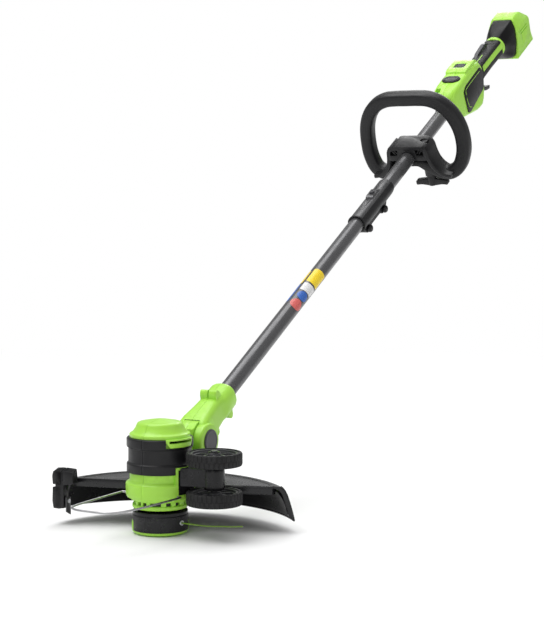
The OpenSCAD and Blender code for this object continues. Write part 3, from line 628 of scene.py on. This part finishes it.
END_LINE = [(4.2, 64.4), (8.4, 60.6), (11.4, 55), (14, 47.5), (16.6, 39), (18.8, 31), (20.6, 24),
            (21.4, 19.6)]
end_rim = tube(smooth_path([polar(guard_radius(27) + x - 2.7, 27, z) for x, z in END_LINE], 4), 2.6, 14)
RIB_LINE = [(31, 17.4, 24.5), (31, 15.6, 31), (31.4, 13.4, 38.6), (32.6, 10.8, 46.8), (36, 8.6, 52.4),
            (41, 8.2, 53.4), (47, 8.2, 53.4), (53, 8.9, 51.8), (56.6, 11, 46), (58.4, 13.6, 38.6)]
pocket_rib = tube(smooth_path([polar(guard_radius(a) + x - 0.4, a, z) for a, x, z in RIB_LINE], 4), 1.5, 10)
show(joined(loft([guard_section(26 + 157 * k / 120) for k in range(121)]), deck, lip_right, lip_left, rim,
            *ribs, end_rim, pocket_rib),
     "guard_moulded", "deck_black", "motor_head", "guard", 0.5, 40)

END = Matrix.Rotation(radians(184), 4, "Z")
fins = []
for k in range(4):
    y0 = 0.6 + 3.7 * k
    low = [(154, 22 + k), (166, 20 + k), (168, 34), (167, 54), (154, 55)]
    top = [(153, 57), (167, 58), (168, 70), (166, 80 - k), (153, 81 - k)]
    near = [(133, 60), (151.6, 57), (151.6, 81 - k), (135, 80 - k)]
    fins += [placed(plate(tier, 1.2, y0, y0 + 2.9, "y", steps=3), END) for tier in (low, top, near)]
web = placed(block(149, 163, 0.6, 14.6, 24, 76, 1), END)
tongue = placed(block(136, 152, 1, 14.4, 61, 76, 1), END)
show(joined(*fins, web, tongue), "guard_end_fins", "satin_black", "motor_head", "guard_fins", 0.35)
show(shape(placed(plate([(1, 13), (13, 19), (13, 40), (1, 40)], 1, 145.2, 146.7, "x"), END),
           cut=[placed(recess(140, 160, (7.7, 34), 1.7, 24), END)]), "cutter_blade_ground", "blade",
     "motor_head", "cutter_blade", 0.2)


# ---- wheels and wire edge guard ----------------------------------------------

def tyre(z):
    blocks, steps = 36, 8
    rings = []
    for k in range(blocks * steps):
        a = 2 * pi * k / (blocks * steps)
        low_cut = 0.9 if k % steps < 2 else 0
        top_cut = 0.9 if (k + steps // 2) % steps < 2 else 0
        outline = [(33.6, -9.3), (36.4, -9.3), (37.8 - low_cut, -8.9), (38.7 - low_cut, -7.6),
                   (39 - low_cut, -6), (39 - low_cut, -0.9), (38.3, -0.6), (38.3, 0.6), (39 - top_cut, 0.9),
                   (39 - top_cut, 6), (38.7 - top_cut, 7.6), (37.8 - top_cut, 8.9), (36.4, 9.3), (33.6, 9.3)]
        rings.append([(WHEEL_X + r * cos(a), r * sin(a), z + h) for r, h in outline])
    return loft(rings, True)


def hub(z):
    rim = turned([(30, -8.2), (33.5, -8.2), (33.5, 8.2), (30, 8.2), (29, 4)], 0.8, 96)
    ring = turned([(26.4, -5.4), (30.6, -5.4), (30.6, 5.4), (26.4, 5.4)], 0.8, 96)
    boss = turned([(5.06, -8.6, 0), (8.6, -8.6), (10, -6), (10, 6), (8.6, 8.6), (5.06, 8.6, 0)], 0.8, 48)
    disk = shape(lathe([(9, -2.4), (27, -2.4), (27, 2.4), (9, 2.4)], 96), cut=[
        turn(plate([(13.4, -3.4), (24, -7.6), (25, 0), (24, 7.6), (13.4, 3.4)], 2, -4, 4), 60 * k + 30)
        for k in range(6)])
    spokes = [turn(plate([(9, -6.6), (27, -4.6), (27, 4.6), (9, 6.6)], 1, -1.5, 1.5, "y"), 60 * k)
              for k in range(6)]
    return moved(joined(rim, ring, boss, lifted(disk), *spokes), (WHEEL_X, 0, z))


for name, height in (("top", 110.7), ("low", 56.4)):
    show(tyre(height), f"wheel_{name}_treaded_tyre", "tyre", f"wheel_{name}", f"wheel_{name}_tyre", 0, 30, 28)
    show(hub(height), f"wheel_{name}_spoked_hub", "dark_grey", f"wheel_{name}", f"wheel_{name}_hub", 0.35)
axle = turned([(0, 44.9, 0), (5, 44.9), (5, 122.2), (0, 122.2, 0)], 0.8, 48)
show(moved(axle, (WHEEL_X, 0, 0)), "axle_turned", "blade", "motor_head", "axle")

WIRE = [(-40, -22), (-44, -22), (-47, -23), (-48, -27), (-48, -60), (-47, -100), (-46, -135), (-42, -152),
        (-34, -161), (-22, -166), (0, -167), (18, -166), (29, -160), (35, -150), (39.5, -134), (44, -100),
        (46.5, -60), (48, -27), (47, -23), (44, -22), (40, -22)]
show(tube(smooth_path([(x, y, 57) for x, y in WIRE], 6), 1.49, 14), "wire_guard_bent", "wire", "edge_guard",
     "wire_guard")


# ---- line head ---------------------------------------------------------------

show(shape(
    turned([(36.5, 5.5, 0), (39.4, 5.5, 0.6), (39.5, 26.8, 0.6), (38.7, 28, 0.6), (38.7, 32.9, 1.6),
            (9, 32.9, 0.6), (9, 58, 0.5), (4.02, 58, 0), (4.02, 22, 0), (9, 22, 0), (9, 30.9, 0),
            (36.5, 29.9, 0)], 0.6, 128),
    cut=[turn(recess(30, 45, (0, 18), 2.85), a) for a in EYE_ANGLES]
    + [turn(plate([(-7.2, 3), (7.2, 3), (7.2, 20.2), (-7.2, 20.2)], 1.2, 33, 45, "x"), a)
       for a in CLIP_ANGLES]
    + [lathe([(39.1, z), (40, z), (40, z + 0.5), (39.1, z + 0.5)], 128) for z in (8.2, 24.6)]),
    "spool_drum", "satin_black", "spool_head", "spool_housing", 0.3)
cap_parts = [turned([(24.4, 1), (35.2, 1, 1), (37.6, 1.9, 1), (38.4, 3.6, 0.8), (38.4, 5.4, 0.4),
                     (24.4, 5.4)], 0.4,
                    128)]
for a in CLIP_ANGLES:
    cap_parts += [turn(plate([(-6.8, 4), (6.8, 4), (6.8, 18.4), (-6.8, 18.4)], 1.6, 36.6, 39.3, "x"), a)]
    cap_parts += [turn(block(36.8, 39.9, -5, 5, h, h + 1.1, 0.5), a) for h in (8.4, 11.4, 14.4)]
show(joined(*cap_parts), "spool_cap_clipped", "lime", "spool_head", "spool_cap", 0.3)
eye = fillet([(1.4, 34.6, 0), (2.8, 34.6, 0), (2.8, 39.5, 0), (3.9, 39.6, 0.5), (3.6, 41, 0.6),
              (1.9, 41, 0.5), (1.4, 40, 0)], 0.3)
show(joined(*(turn(moved(turn(lathe(eye, 48), 90, "Y"), (0, 0, 18)), a) for a in EYE_ANGLES)),
     "eyelet_pair", "steel", "spool_head", "eyelets")
show(shape(turned([(0, 0, 0), (20, 0, 2), (23.2, 1, 1), (24, 3, 0.8), (24, 6, 0), (0, 6, 0)], 0.8, 96),
           cut=[turn(disc(4, -1, 2.2, (25.4, 0), "z", 32), 60 * k) for k in range(6)]
           + [lathe([(r, -1), (r + 1.2, -1), (r + 1.2, 0.6), (r, 0.6)], 96) for r in (8, 13)]),
     "bump_knob_moulded", "black", "knob", "bump_knob", 0.4)

LINE = [(35, -6.2, 18), (41, -7.2, 18), (50, -8.6, 18), (60, -9, 18), (70, -8, 17.5), (80, -4.5, 17),
        (89, 1, 16.5), (97, 8, 16), (104, 15, 15), (110, 22, 14.5), (116, 29, 14)]
line_path = smooth_path(LINE, 3)
line = show(tube(line_path, 1.0, 12), "cutting_line_nylon", "line", "spool_head", "cutting_line")

coil = [Vector((6.9 * cos(radians(7.5 * i)), 6.9 * sin(radians(7.5 * i)), 7.1 + 13.8 * i / 288))
        for i in range(289)]
spring = show(tube(coil, 0.8, 10), "feed_spring_coil", "steel", "spool_head", "feed_spring")
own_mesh(spring)


# ---- neck and lower shaft ------------------------------------------------------

def spun(profile, steps=64):
    """Turned solid along the shaft from an outline of (radius, distance along the shaft)."""
    return turn(lathe(profile, steps), -90, "X")


def neck():
    rings = [bar_ring(y, w, t, b, rt, rl) for y, w, t, b, rt, rl in (
        (2, 24, 15.8, -27, 8, 4), (8, 23.6, 19.6, -25, 9, 5), (18, 22.4, 21.4, -22.6, 10, 7),
        (30, 20.6, 21.6, -20.6, 11, 8),
        (44, 18.8, 21.4, -19.6, 11.5, 9), (58, 17.8, 21.2, -19.4, 12, 10), (66, 17.8, 21, -19.6, 12, 10),
        (70, 19.6, 21, -20.4, 15, 13), (76, 21, 21.2, -21.2, 19, 18), (98, 20.8, 20.8, -20.8, 19, 19),
        (102, 20, 20, -20, 19, 19), (105.4, 17, 17, -17, 16, 16))]
    ear = turn(turned([(0, -27, 0), (23.4, -27, 2), (26, -24.6, 2), (26, 24.6, 2), (23.4, 27, 2), (0, 27, 0)],
                      2, 96),
               90, "Y", (0, 0, -9))
    lug = plate([(60, 16, 0), (62, 27, 5), (68, 32.6, 6), (74, 27, 5), (76, 16, 0)], 3, -13.4, 13.6, "x",
                steps=5)
    front_lug = plate([(33, -12, 0), (35, -26, 4), (40, -28.4, 4), (45, -26, 4), (47, -12, 0)], 3, -16.4,
                      14.8, "x", steps=5)
    low_lug = plate([(77, -18, 0), (79, -26, 4), (84, -29, 4), (89, -26, 4), (91, -18, 0)], 3, -14.8, 14.8,
                    "x", steps=5)
    return [shape(
        loft(rings), add=[ear, lug, low_lug, front_lug],
        cut=[disc(30.4, -13, 13, (0, -9), "x", 96), block(-13, 13, -60, 0, -60, 40),
             disc(6.05, -40, 40, (0, -9), "x"), bore(33, 140), bore(103.6, 140, 14.4),
             block(-1, 1, 50, 82, 22.4, 40),
             recess(-60, -11.2, (68, 25.4)), recess(-60, -12.8, (84, -22)), recess(-60, -13.8, (40, -22))]
        + [recess(-20, 12.2, at, 1.9, 24) for at in ((68, 25.4), (84, -22), (40, -22))])]


halves(neck, ("neck_left", "neck_right"), "lower_shaft", 0.5)
show(cross_screws((68, 25.4, -12.1, 11.3), (84, -22, -13, 13), (40, -22, -14, 14)), "neck_screw_set", "iron",
     "lower_shaft", "neck_screws")
boss = fillet([(0, 26.2, 0), (17.5, 26.2, 0), (17.5, 28.6, 0.8), (14.8, 29.6, 1.2), (13.2, 28.9, 0.8),
               (0, 29.2, 0)],
              0.5)
show(joined(*(turn(lathe(boss, 96), 90 * side, "Y", (0, 0, -9)) for side in (1, -1))),
     "pivot_cap_pair", "grey", "lower_shaft", "pivot_caps")

show(spun(fillet([(11.4, 34), (TUBE, 34), (TUBE, 705), (11.4, 705)], 0.4), 96), "lower_tube_coated", "tube",
     "lower_shaft", "lower_tube")

# The information labels: plain colour patches on a clear film, no symbols or wording
for key, colour in (("label_white", (0.7, 0.7, 0.7)), ("label_yellow", (0.85, 0.62, 0.02)),
                    ("label_blue", (0.03, 0.12, 0.45)),
                    ("label_red", (0.62, 0.12, 0.11))):
    MATS[key] = moulded(key, colour, 0.35, 0.8, 0.01, 0.05, 1.1)
    SLOT[key] = "grey_plastic"


def patch(name, look, inside, angles, along, steps=(60, 96)):
    """Part of the tube's surface, a little proud of it, where inside(angle in mm, distance along) holds."""
    verts, faces = [], []
    for i in range(steps[1] + 1):
        for j in range(steps[0] + 1):
            a = radians(angles[0] + (angles[1] - angles[0]) * j / steps[0])
            verts.append((LABEL * cos(a), along[0] + (along[1] - along[0]) * i / steps[1], LABEL * sin(a)))
    for i in range(steps[1]):
        for j in range(steps[0]):
            x = LABEL * radians(angles[0] + (angles[1] - angles[0]) * (j + 0.5) / steps[0])
            if inside(x, along[0] + (along[1] - along[0]) * (i + 0.5) / steps[1]):
                k = i * (steps[0] + 1) + j
                faces.append((k, k + steps[0] + 1, k + steps[0] + 2, k + 1))
    show(mesh_of(verts, faces), name, look, "lower_shaft")


def panel(x0, x1, y0, y1, r=3.0):
    """Inside test of a rectangle with rounded corners."""
    return lambda x, y: hypot(max(x0 + r - x, x - x1 + r, 0), max(y0 + r - y, y - y1 + r, 0)) < r


patch("label_patch_yellow", "label_yellow", panel(-4.5, 20.5, 405, 443), (-20, 91), (405, 443))
patch("label_patch_white", "label_white", panel(-4.5, 20.5, 380, 401, 1.5), (-20, 91), (380, 401))
patch("label_patch_blue", "label_blue", lambda x, y: hypot(x - 8, y - 368) < 10.4, (-20, 91), (356, 380))
patch("label_patch_red", "label_red", lambda x, y: hypot(x - 8, y - 344) < 11.6, (-20, 91), (332, 356))
patch("label_patch_side", "label_blue", panel(24.5, 36, 344, 396), (106, 158), (344, 396))
patch("label_patch_side_2", "label_yellow", panel(24.5, 36, 399, 437), (106, 158), (399, 437))


# ---- coupler and upper shaft ---------------------------------------------------

def sleeve_half(upper):
    """The metal top of the coupler, or the moulded clamp round its underside with a slanted end. Their seam
    leans 42 degrees along the line where light meets shade, so the lighter top on the lit side and the black
    underside on the shaded side are partly painted light and shade.
    """
    lean = Matrix.Rotation(radians(-42), 4, "Y")
    half = placed(block(-40, 40, 560, 800, *((0.06, 40) if upper else (-40, -0.06))), lean)
    outline = [(13.05, 612), (15.6, 612, 0.5), (15.6, 744, 0.5), (13.05, 744)]
    if upper:
        extra = [plate([(672, 10, 0), (674, 17, 2), (678, 18.8, 2), (700, 18.8, 2), (706, 16, 2),
                        (708, 10, 0)], 2,
                       -6.5, 6.5, "x")]
        cuts = [disc(4.55, -1, 40, (0, 689))]
    else:
        extra = [plate([(622, -12, 0), (622, -19, 3), (627, -27, 6), (641, -27, 6), (648, -21, 4),
                        (688, -21, 4), (695, -27, 6), (709, -27, 6), (716, -19, 4),
                        (722, -12, 0)], 2, -7.6, 7.6, "x")]
        cuts = [block(-0.9, 0.9, 600, 690, -40, -10), prism([(716, -30), (752, 6), (752, -30)], -30, 30, "x"),
                recess(-20, 20, (634, -21), 2.55), recess(-20, 20, (702, -21), 2.55)]
    return shape(lifted(shape(spun(fillet(outline, 0.3), 96), keep=[half])), add=extra, cut=[bore(600, 760)]
                 + cuts)


# The lighter metal top covers the lit side and the black clamp the shaded side: partly a real black clamp,
# partly painted light and shade.
show(sleeve_half(True), "coupler_sleeve", "sleeve", "upper_shaft", "coupler", 0.4)
show(sleeve_half(False), "coupler_clamp", "black", "upper_shaft", "coupler", 0.5)
show(spun(fillet([(13.06, 609.6), (16.4, 609.6), (16.4, 613.2), (13.06, 613.2)], 0.8), 96),
     "coupler_mouth_seal", "black", "upper_shaft")
bolts = []
for y in (634, 702):
    head = shape(turn(turned([(0, 8.1, 0), (6.6, 8.1, 0.6), (6.8, 12, 1.4), (5, 14.4, 1.2), (0, 15, 0)], 0.6,
                             48), 90,
                      "Y", (0, y, -21)),
                 cut=[block(12.6, 20, y - 0.8, y + 0.8, -40, 0)])
    bolts += [lifted(head), recess(-9, 10, (y, -21), 2.5), disc(5, -11.4, -8, (y, -21), "x", 6)]
show(joined(*bolts), "coupler_bolt_pair", "satin_black", "upper_shaft", "coupler_bolts", 0.3)
show(moved(turned([(0, 16, 0), (4.5, 16, 0), (4.5, 20.6, 0.8), (3.6, 21.5, 0.6), (0, 21.2, 0)], 0.4, 48),
           (0, 689, 0)), "release_button_cap", "dark_grey", "shaft_button", "release_button")
show(spun(fillet([(11.4, 706), (TUBE, 706), (TUBE, 1180), (11.4, 1180)], 0.4), 96), "upper_tube_coated",
     "tube", "upper_shaft", "upper_tube")
show(spun(fillet([(13.05, 1034), (16.6, 1034), (17, 1036.4), (16.2, 1037.4), (17, 1038.4), (17, 1042.8, 0),
                  (13.05, 1042.8, 0)], 0.6), 96),
     "tube_collar_ringed", "black", "upper_shaft", "tube_collar")


# ---- front handle --------------------------------------------------------------

LOOP = [(0, 98), (22, 98), (42, 96), (62, 87), (79, 69), (90, 44), (94, 16), (92, -10), (82, -32), (64, -42),
        (44, -37), (27, -28), (13, -23)]
around = LOOP + [(0, -22)] + [(-x, z) for x, z in LOOP[:0:-1]]


def loop_ring(p, t):
    """Soft-cornered section of the loop: wider along the shaft near its foot."""
    x, z = p
    side = Vector((t[1], 0, -t[0])).normalized()
    deep = 14 + 10 * max(0, 1 - hypot(x, z + 24) / 62)
    lean = 895 - 12 * (max(0, 40 - z) / 70) ** 2
    ring = []
    for k in range(28):
        c, s = cos(2 * pi * k / 28), sin(2 * pi * k / 28)
        u = 12.6 * abs(c) ** 0.62 * (1 if c > 0 else -1)
        v = deep * abs(s) ** 0.62 * (1 if s > 0 else -1)
        ring.append((x + side.x * u, lean + v, z + side.z * u))
    return ring


loop_path = smooth_path(around, 5, True)
loop_bm = loft([loop_ring(p, loop_path[(i + 1) % len(loop_path)] - loop_path[i - 1])
                for i, p in enumerate(loop_path)], True)
ARM = [(33, 19), (36.5, 12), (38, 3), (40.5, -8), (45, -19), (53, -29), (64, -36), (76, -38)]
arms = []
for side in (1, -1):
    arm_path = smooth_path(ARM, 4)
    rings = []
    for i, p in enumerate(arm_path):
        t = arm_path[min(i + 1, len(arm_path) - 1)] - arm_path[max(i - 1, 0)]
        n = Vector((t.y, -t.x)).normalized()
        wide = 22.4 - 3.4 * i / len(arm_path)
        section = fillet([(-3.4, -wide), (3.4, -wide), (3.4, wide), (-3.4, wide)], 2.2, 3)
        rings.append([(side * (p.x + n.x * u), 870 + v, p.y + n.y * u) for u, v in section])
    arms.append(loft(rings))
foot = disc(9.6, -46, -24, (27, 875), "z", 64, 1.2)
loop = shape(loop_bm, cut=[
    plate([(-40, -70, 0), (-34, -40, 6), (-20, -32, 5), (-10, -22.5, 6), (10, -22.5, 6), (20, -32, 5),
           (34, -40, 6), (40, -70, 0)], 4, 820, 980, "y", steps=6)])
loop = shape(loop, add=[foot], cut=[bore(700, 1000), block(-42, 42, 840, 925, -3.8, 12),
                                    disc(3.05, -90, 20, (27, 875)), disc(9.2, -90, -46, (27, 875))])
show(joined(lifted(loop), *arms), "handle_loop_moulded", "black", "handle", "handle_loop", 0.6, 50, 40)
clamp = shape(
    plate([(-38, -3.6, 1), (-40, 8), (-30, 22.4, 6), (-24, 24.4, 4), (26, 24.4, 4), (34, 21, 6), (38, 10),
           (38, -3.6, 1)], 3, 847, 893, "y", steps=6),
    keep=[plate([(-42, 850), (-30, 846.6), (34, 846.6), (42, 851), (42, 893), (-42, 893)], 4, -10, 40)],
    cut=[bore(800, 940), disc(3.05, -20, 40, (27, 875)), disc(6.4, 18.6, 40, (27, 875), "z", 48, 1.6),
         plate([(-33, 6.5), (-32, 14), (-26, 17.6), (-16.5, 17.6), (-18.5, 7)], 2, 840, 857, "y"),
         plate([(33, 6.5), (32, 14), (26, 17.6), (16.5, 17.6), (18.5, 7)], 2, 840, 857, "y")])
pocket_ribs = [turn(block(-0.9, 0.9, 849, 857.4, -7, 7), t, "Y", (x, 0, 12.2))
               for x, t in ((-26, -38), (26, 38), (-21, -38), (21, 38))]
show(joined(lifted(clamp), *pocket_ribs), "handle_clamp_cap", "black", "handle", "handle_cap", 0.7)
wing = plate([(-31, -56, 3), (-31, -65, 3), (-20, -63.6, 5), (-9, -65.6, 6), (0, -66.6, 6), (9, -65.6, 6),
              (20, -63.6, 5), (31, -65, 3), (31, -56, 3), (22, -54.6, 5), (9, -53, 3), (-9, -53, 3),
              (-22, -54.6, 5)], 2, -5.6, 5.6, "y", steps=4)
stem = turned([(3.05, -66, 0), (8.6, -66, 1.5), (8.6, -53, 1.5), (7.8, -46.6, 0.6), (3.05, -46.6, 0)], 0.5,
              48)
show(moved(joined(wing, stem), (27, 875, 0)), "handle_wing_knob", "black", "clamp_knob", "handle_knob", 0.8)


# ---- rear clamshell ----------------------------------------------------------

BODY = ((1042.9, 18.6, 26.6, -18, 11, 8), (1046, 20.6, 30, -20, 12, 8), (1052, 22.6, 34.4, -22.6, 12, 8),
        (1062, 24.4, 37.4, -26.4, 12, 8), (1078, 25, 38.6, -31, 11, 8), (1100, 25, 39.4, -37, 11, 8),
        (1122, 25, 40, -43, 11, 8), (1140, 25, 40, -47.4, 11, 8),
        (1154, 25, 40, -49, 11, 8), (1165, 25, 39.6, -48.6, 11, 8), (1174, 24.8, 38.6, -42, 11, 8),
        (1184, 24, 35.4, -31, 12, 9), (1194, 21.6, 28.6, -21.4, 13, 10), (1201, 19.4, 22.4, -17.6, 12, 10),
        (1206, 17.2, 18.4, -16, 11, 10))
PANEL = [(1084, 17), (1098, 24), (1180, 26), (1192, 8), (1180, -20), (1098, -32), (1088, -28)]


def polar_section(outline, steps):
    """Points at even angles round an outline that surrounds the origin."""
    points = []
    for k in range(steps):
        a = 2 * pi * k / steps
        d = Vector((cos(a), sin(a)))
        best = 0
        for p, q in zip(outline, outline[1:] + outline[:1]):
            p, e = Vector(p), Vector(q) - Vector(p)
            det = d.cross(e)
            if abs(det) < 1e-9:
                continue
            r, s = p.cross(e) / det, p.cross(d) / det
            if -1e-6 <= s <= 1 + 1e-6 and r > best:
                best = r
        points.append((best * d.x, best * d.y))
    return points


def clamshell():
    pad = shape(plate([(1117, 36, 0), (1121, 43.4, 3), (1128, 45, 4), (1172, 44.4, 7), (1186, 37.6, 8),
                       (1192, 30, 0), (1190, 28, 0)], 3, -21, 21, "x", steps=5),
                keep=[plate([(-20.4, 1116), (-21, 1150), (-19, 1184), (-14, 1194), (14, 1194), (19, 1184),
                             (21, 1150), (20.4, 1116)], 5, 0, 80)])
    dock = shape(plate([(1364, -44, 3), (1391, 33, 8), (1398, 35, 4), (1424, 35, 7), (1453, 11, 8),
                        (1450, -22, 8), (1458, -44, 3)], 4, -33, 33, "x", steps=6),
                 keep=[plate([(-32, -45), (-32, 10), (-22, 35.4), (22, 35.4), (32, 10), (32, -45)], 6, 1340,
                             1480, "y", steps=6)],
                 cut=[block(-26, 26, 1396, 1500, -37, 24, 1)]
                 + [moved(block(-1.5, 1.5, -23 + 3 * k, 23 - 3 * k, -1.2, 1.2, 1),
                          (side * 32, 1413 + 2 * k, 3 - 6 * k))
                    for side in (-1, 1) for k in (0, 1)]
                 + [prism([(1372, -39.4), (1454, -39.4), (1454, -38.7), (1372, -38.7)], x, x + 2, "x")
                    for x in (-33, 31)]
                 + [block(-33, -31.2, 1400, 1401, -30, 8), block(31.2, 33, 1400, 1401, -30, 8)])
    core = spun([(12.5, 1200), (16, 1200), (16, 1366), (12.5, 1366)], 64)
    collar = spun(fillet([(12.6, 1321.6, 0), (20.6, 1321.6), (21, 1331), (12.6, 1331, 0)], 1.4), 96)
    strips = [turn(lathe(fillet([(15.5, 1212.4, 0), (18.6, 1212.4, 0.6), (18.9, 1300, 0.6), (20.2, 1323, 0.6),
                                 (15.5, 1323, 0)], 0.5), 12, a, a + 31.5), -90, "X") for a in (-34, 182.5)]
    body = shape(loft([bar_ring(y, w, t, b, rt, rl) for y, w, t, b, rt, rl in BODY]), add=[lifted(pad)], cut=[
        bore(1000, 1190, 13.06), disc(10.9, 30, 60, (0, 1095), "z", 64, 5),
        block(-11.4, 11.4, 1136.6, 1155.4, 36, 60, 1.5),
        block(-18.5, -8, 1051, 1062, 25, 50, 1.5), plate(PANEL, 4, 23.8, 30, "x"),
        plate(PANEL, 4, -30, -23.8, "x"),
        block(-26, 26, 1120.4, 1121, 41, 60), recess(-60, -16.8, (1058, -20)),
        recess(-60, -21.8, (1150, -38)),
        recess(-60, -16.8, (1192, 26))])
    return [body, dock] + [solid(part) for part in (core, collar, *strips)]


halves(clamshell, ("shell_left", "shell_right"), "upper_shaft", 0.4)

show(cross_screws((1058, -20, -17, 17), (1150, -38, -22, 22), (1192, 26, -17, 17), (1312, 0, -12, 12),
                  (1400, -41.5, -24, 24), (1412, 29, -20, 20)),
     "shell_screw_set", "iron", "upper_shaft", "shell_screws")

TRIM = ((1172, 19.5), (1104, 18.5), (1093, 12), (1096, -16), (1106, -24))
inset = fillet([(1136 + (y - 1136) * 0.985, -2 + (z + 2) * 0.98) for y, z in PANEL], 5)
show(joined(*(prism(inset, low, low + 2.1, "x") for low in (23.9, -26))),
     "side_panel_pair", "panel_black", "upper_shaft", "side_panels", 0.5)
show(joined(*(tube(smooth_path([(26.1 * side, y, z) for y, z in TRIM], 5), 0.55, 8) for side in (1, -1))),
     "side_panel_trim", "lime", "upper_shaft")

GRIP = ((1207.2, 17.8, 17.8, -17.8), (1213, 17.4, 17.8, -17.6), (1222, 16.9, 17.6, -17.4),
        (1262, 16.7, 17.6, -17), (1300, 17, 17.6, -17.4), (1316, 17.8, 18, -18), (1321.4, 18.2, 18.2, -18.2))
grip = shape(loft([bar_ring(y, w, t, b, 10, 11, 0, 8) for y, w, t, b in GRIP]), cut=[
    bore(1100, 1400, 16.05), block(-11, 11, 1200, 1330, -40, -9), block(-13.4, -3.4, 1236, 1306, 2, 30)]
    + [turn(lathe([(12, 1212), (40, 1212), (40, 1330), (12, 1330)], 12, a, a + 32.5), -90, "X")
       for a in (-34.5, 182)])
show(grip, "grip_cover_soft", "grip", "upper_shaft", "grip_cover", 0.5)
show(plate([(3.2, 1216), (4.6, 1216), (4.6, 1252), (3.2, 1252)], 0.5, 17.5, 18.2), "grip_sight_line", "lime",
     "upper_shaft")

wide_end = fillet([(20, 31.5), (27.5, 13), (29.5, -12), (27, -36), (16, -41), (-16, -41), (-27, -36),
                   (-29.5, -12), (-27.5, 13), (-20, 31.5)], 4, 4)
wide_end = polar_section(wide_end, 96)
funnel_rings = []
for y, k, lean in ((1331.2, 0, 0), (1334, 0.06, 0), (1339, 0.24, 0.05), (1345, 0.52, 0.2), (1351, 0.78, 0.45),
                   (1356, 0.92, 0.7), (1360, 0.99, 0.9), (1362.8, 1, 1)):
    ring = []
    for i, (px, pz) in enumerate(wide_end):
        a = 2 * pi * i / len(wide_end)
        x, z = px * k + 20.6 * cos(a) * (1 - k), pz * k + 20.6 * sin(a) * (1 - k)
        ring.append((x, y + lean * (z + 44) * 28 / 78, z))
    funnel_rings.append(ring)
show(shape(loft(funnel_rings), cut=[disc(16.1, 1300, 1420, (0, 0), "y", 64)]), "funnel_cover_moulded",
     "panel_black", "upper_shaft", "funnel_cover", 0.5, 30, 26)


def button(outline_at, levels):
    """Button cap from one outline at several heights; outline_at gives it for an inset."""
    return loft([[(x, y, z) for x, y in outline_at(inset)] for inset, z in levels])


power = button(lambda d: circle(10.5 - d, (0, 1095), 64, 5),
               ((0, 22.5), (0, 40.6), (0.5, 41.8), (1.6, 42.5), (3.0, 42.6), (3.6, 41.9), (5, 41.7)))
show(power, "power_button_domed", "dark_grey", "power_key", "power_button", 0, 30, 40)
bezel = button(lambda d: circle(13 - d, (0, 1095), 72, 5),
               ((0.6, 37), (0, 38), (0, 40.4), (0.8, 41.4), (1.9, 41.5)))
show(shape(bezel, cut=[disc(10.85, 30, 60, (0, 1095), "z", 72, 5)]), "power_button_bezel", "satin_black",
     "upper_shaft", (), 0.3)
show(prism(circle(2.6, (0, 1095), 48, 5), 41.4, 42.0), "power_button_inlay", "grey", "power_key", (), 0.2)
trapezoid = [(-11, 1137), (11, 1137), (9, 1155), (-9, 1155)]
screen = button(lambda d: fillet([(x - d * (1 if x > 0 else -1), y - d * (1 if y > 1140 else -1))
                                  for x, y in trapezoid], 1.2),
                ((0, 22.5), (0, 44.0), (0.6, 44.9), (1.6, 45), (2.2, 44.3), (3, 44.2)))
show(screen, "display_button_framed", "dark_grey", "display_key", "display_button", 0, 30, 40)
show(plate([(x * 0.62, 1146 + (y - 1146) * 0.4) for x, y in trapezoid], 0.8, 44.0, 44.5), "display_window",
     "satin_black", "display_key")

TRIGGER = [(1217, -15, 3), (1222, -5, 3), (1233, -5, 3), (1231, -16, 5), (1224, -25, 6), (1224, -35, 6),
           (1232, -42, 7), (1253.5, -47.5, 2.5), (1250, -53.5, 2.5), (1228, -48.5, 9), (1215, -40, 9),
           (1212.5, -26, 7)]
show(shape(plate(TRIGGER, 3, -7, 7, "x", steps=6), add=[recess(-9.5, 9.5, (1222, -10), 3)]), "trigger_curved",
     "black", "trigger_lever", "trigger", 0.9)
LEVER = [(1240, 5.5, 1), (1240, 13, 2), (1251, 20.5, 4), (1290, 24, 4), (1300, 22, 3), (1302, 15, 2),
         (1250, 7, 3)]
show(shape(plate(LEVER, 3, -12, -5, "x", steps=5), add=[recess(-13.2, -3.6, (1243, 8), 1.5, 24)],
           cut=[block(-13, -4, y, y + 1, 21.6 + (y - 1262) * 0.09, 30)
                for y in (1266, 1270, 1274, 1278, 1282)]),
     "lockout_lever_ribbed", "grey", "lockout", "lockout_lever", 0.5)
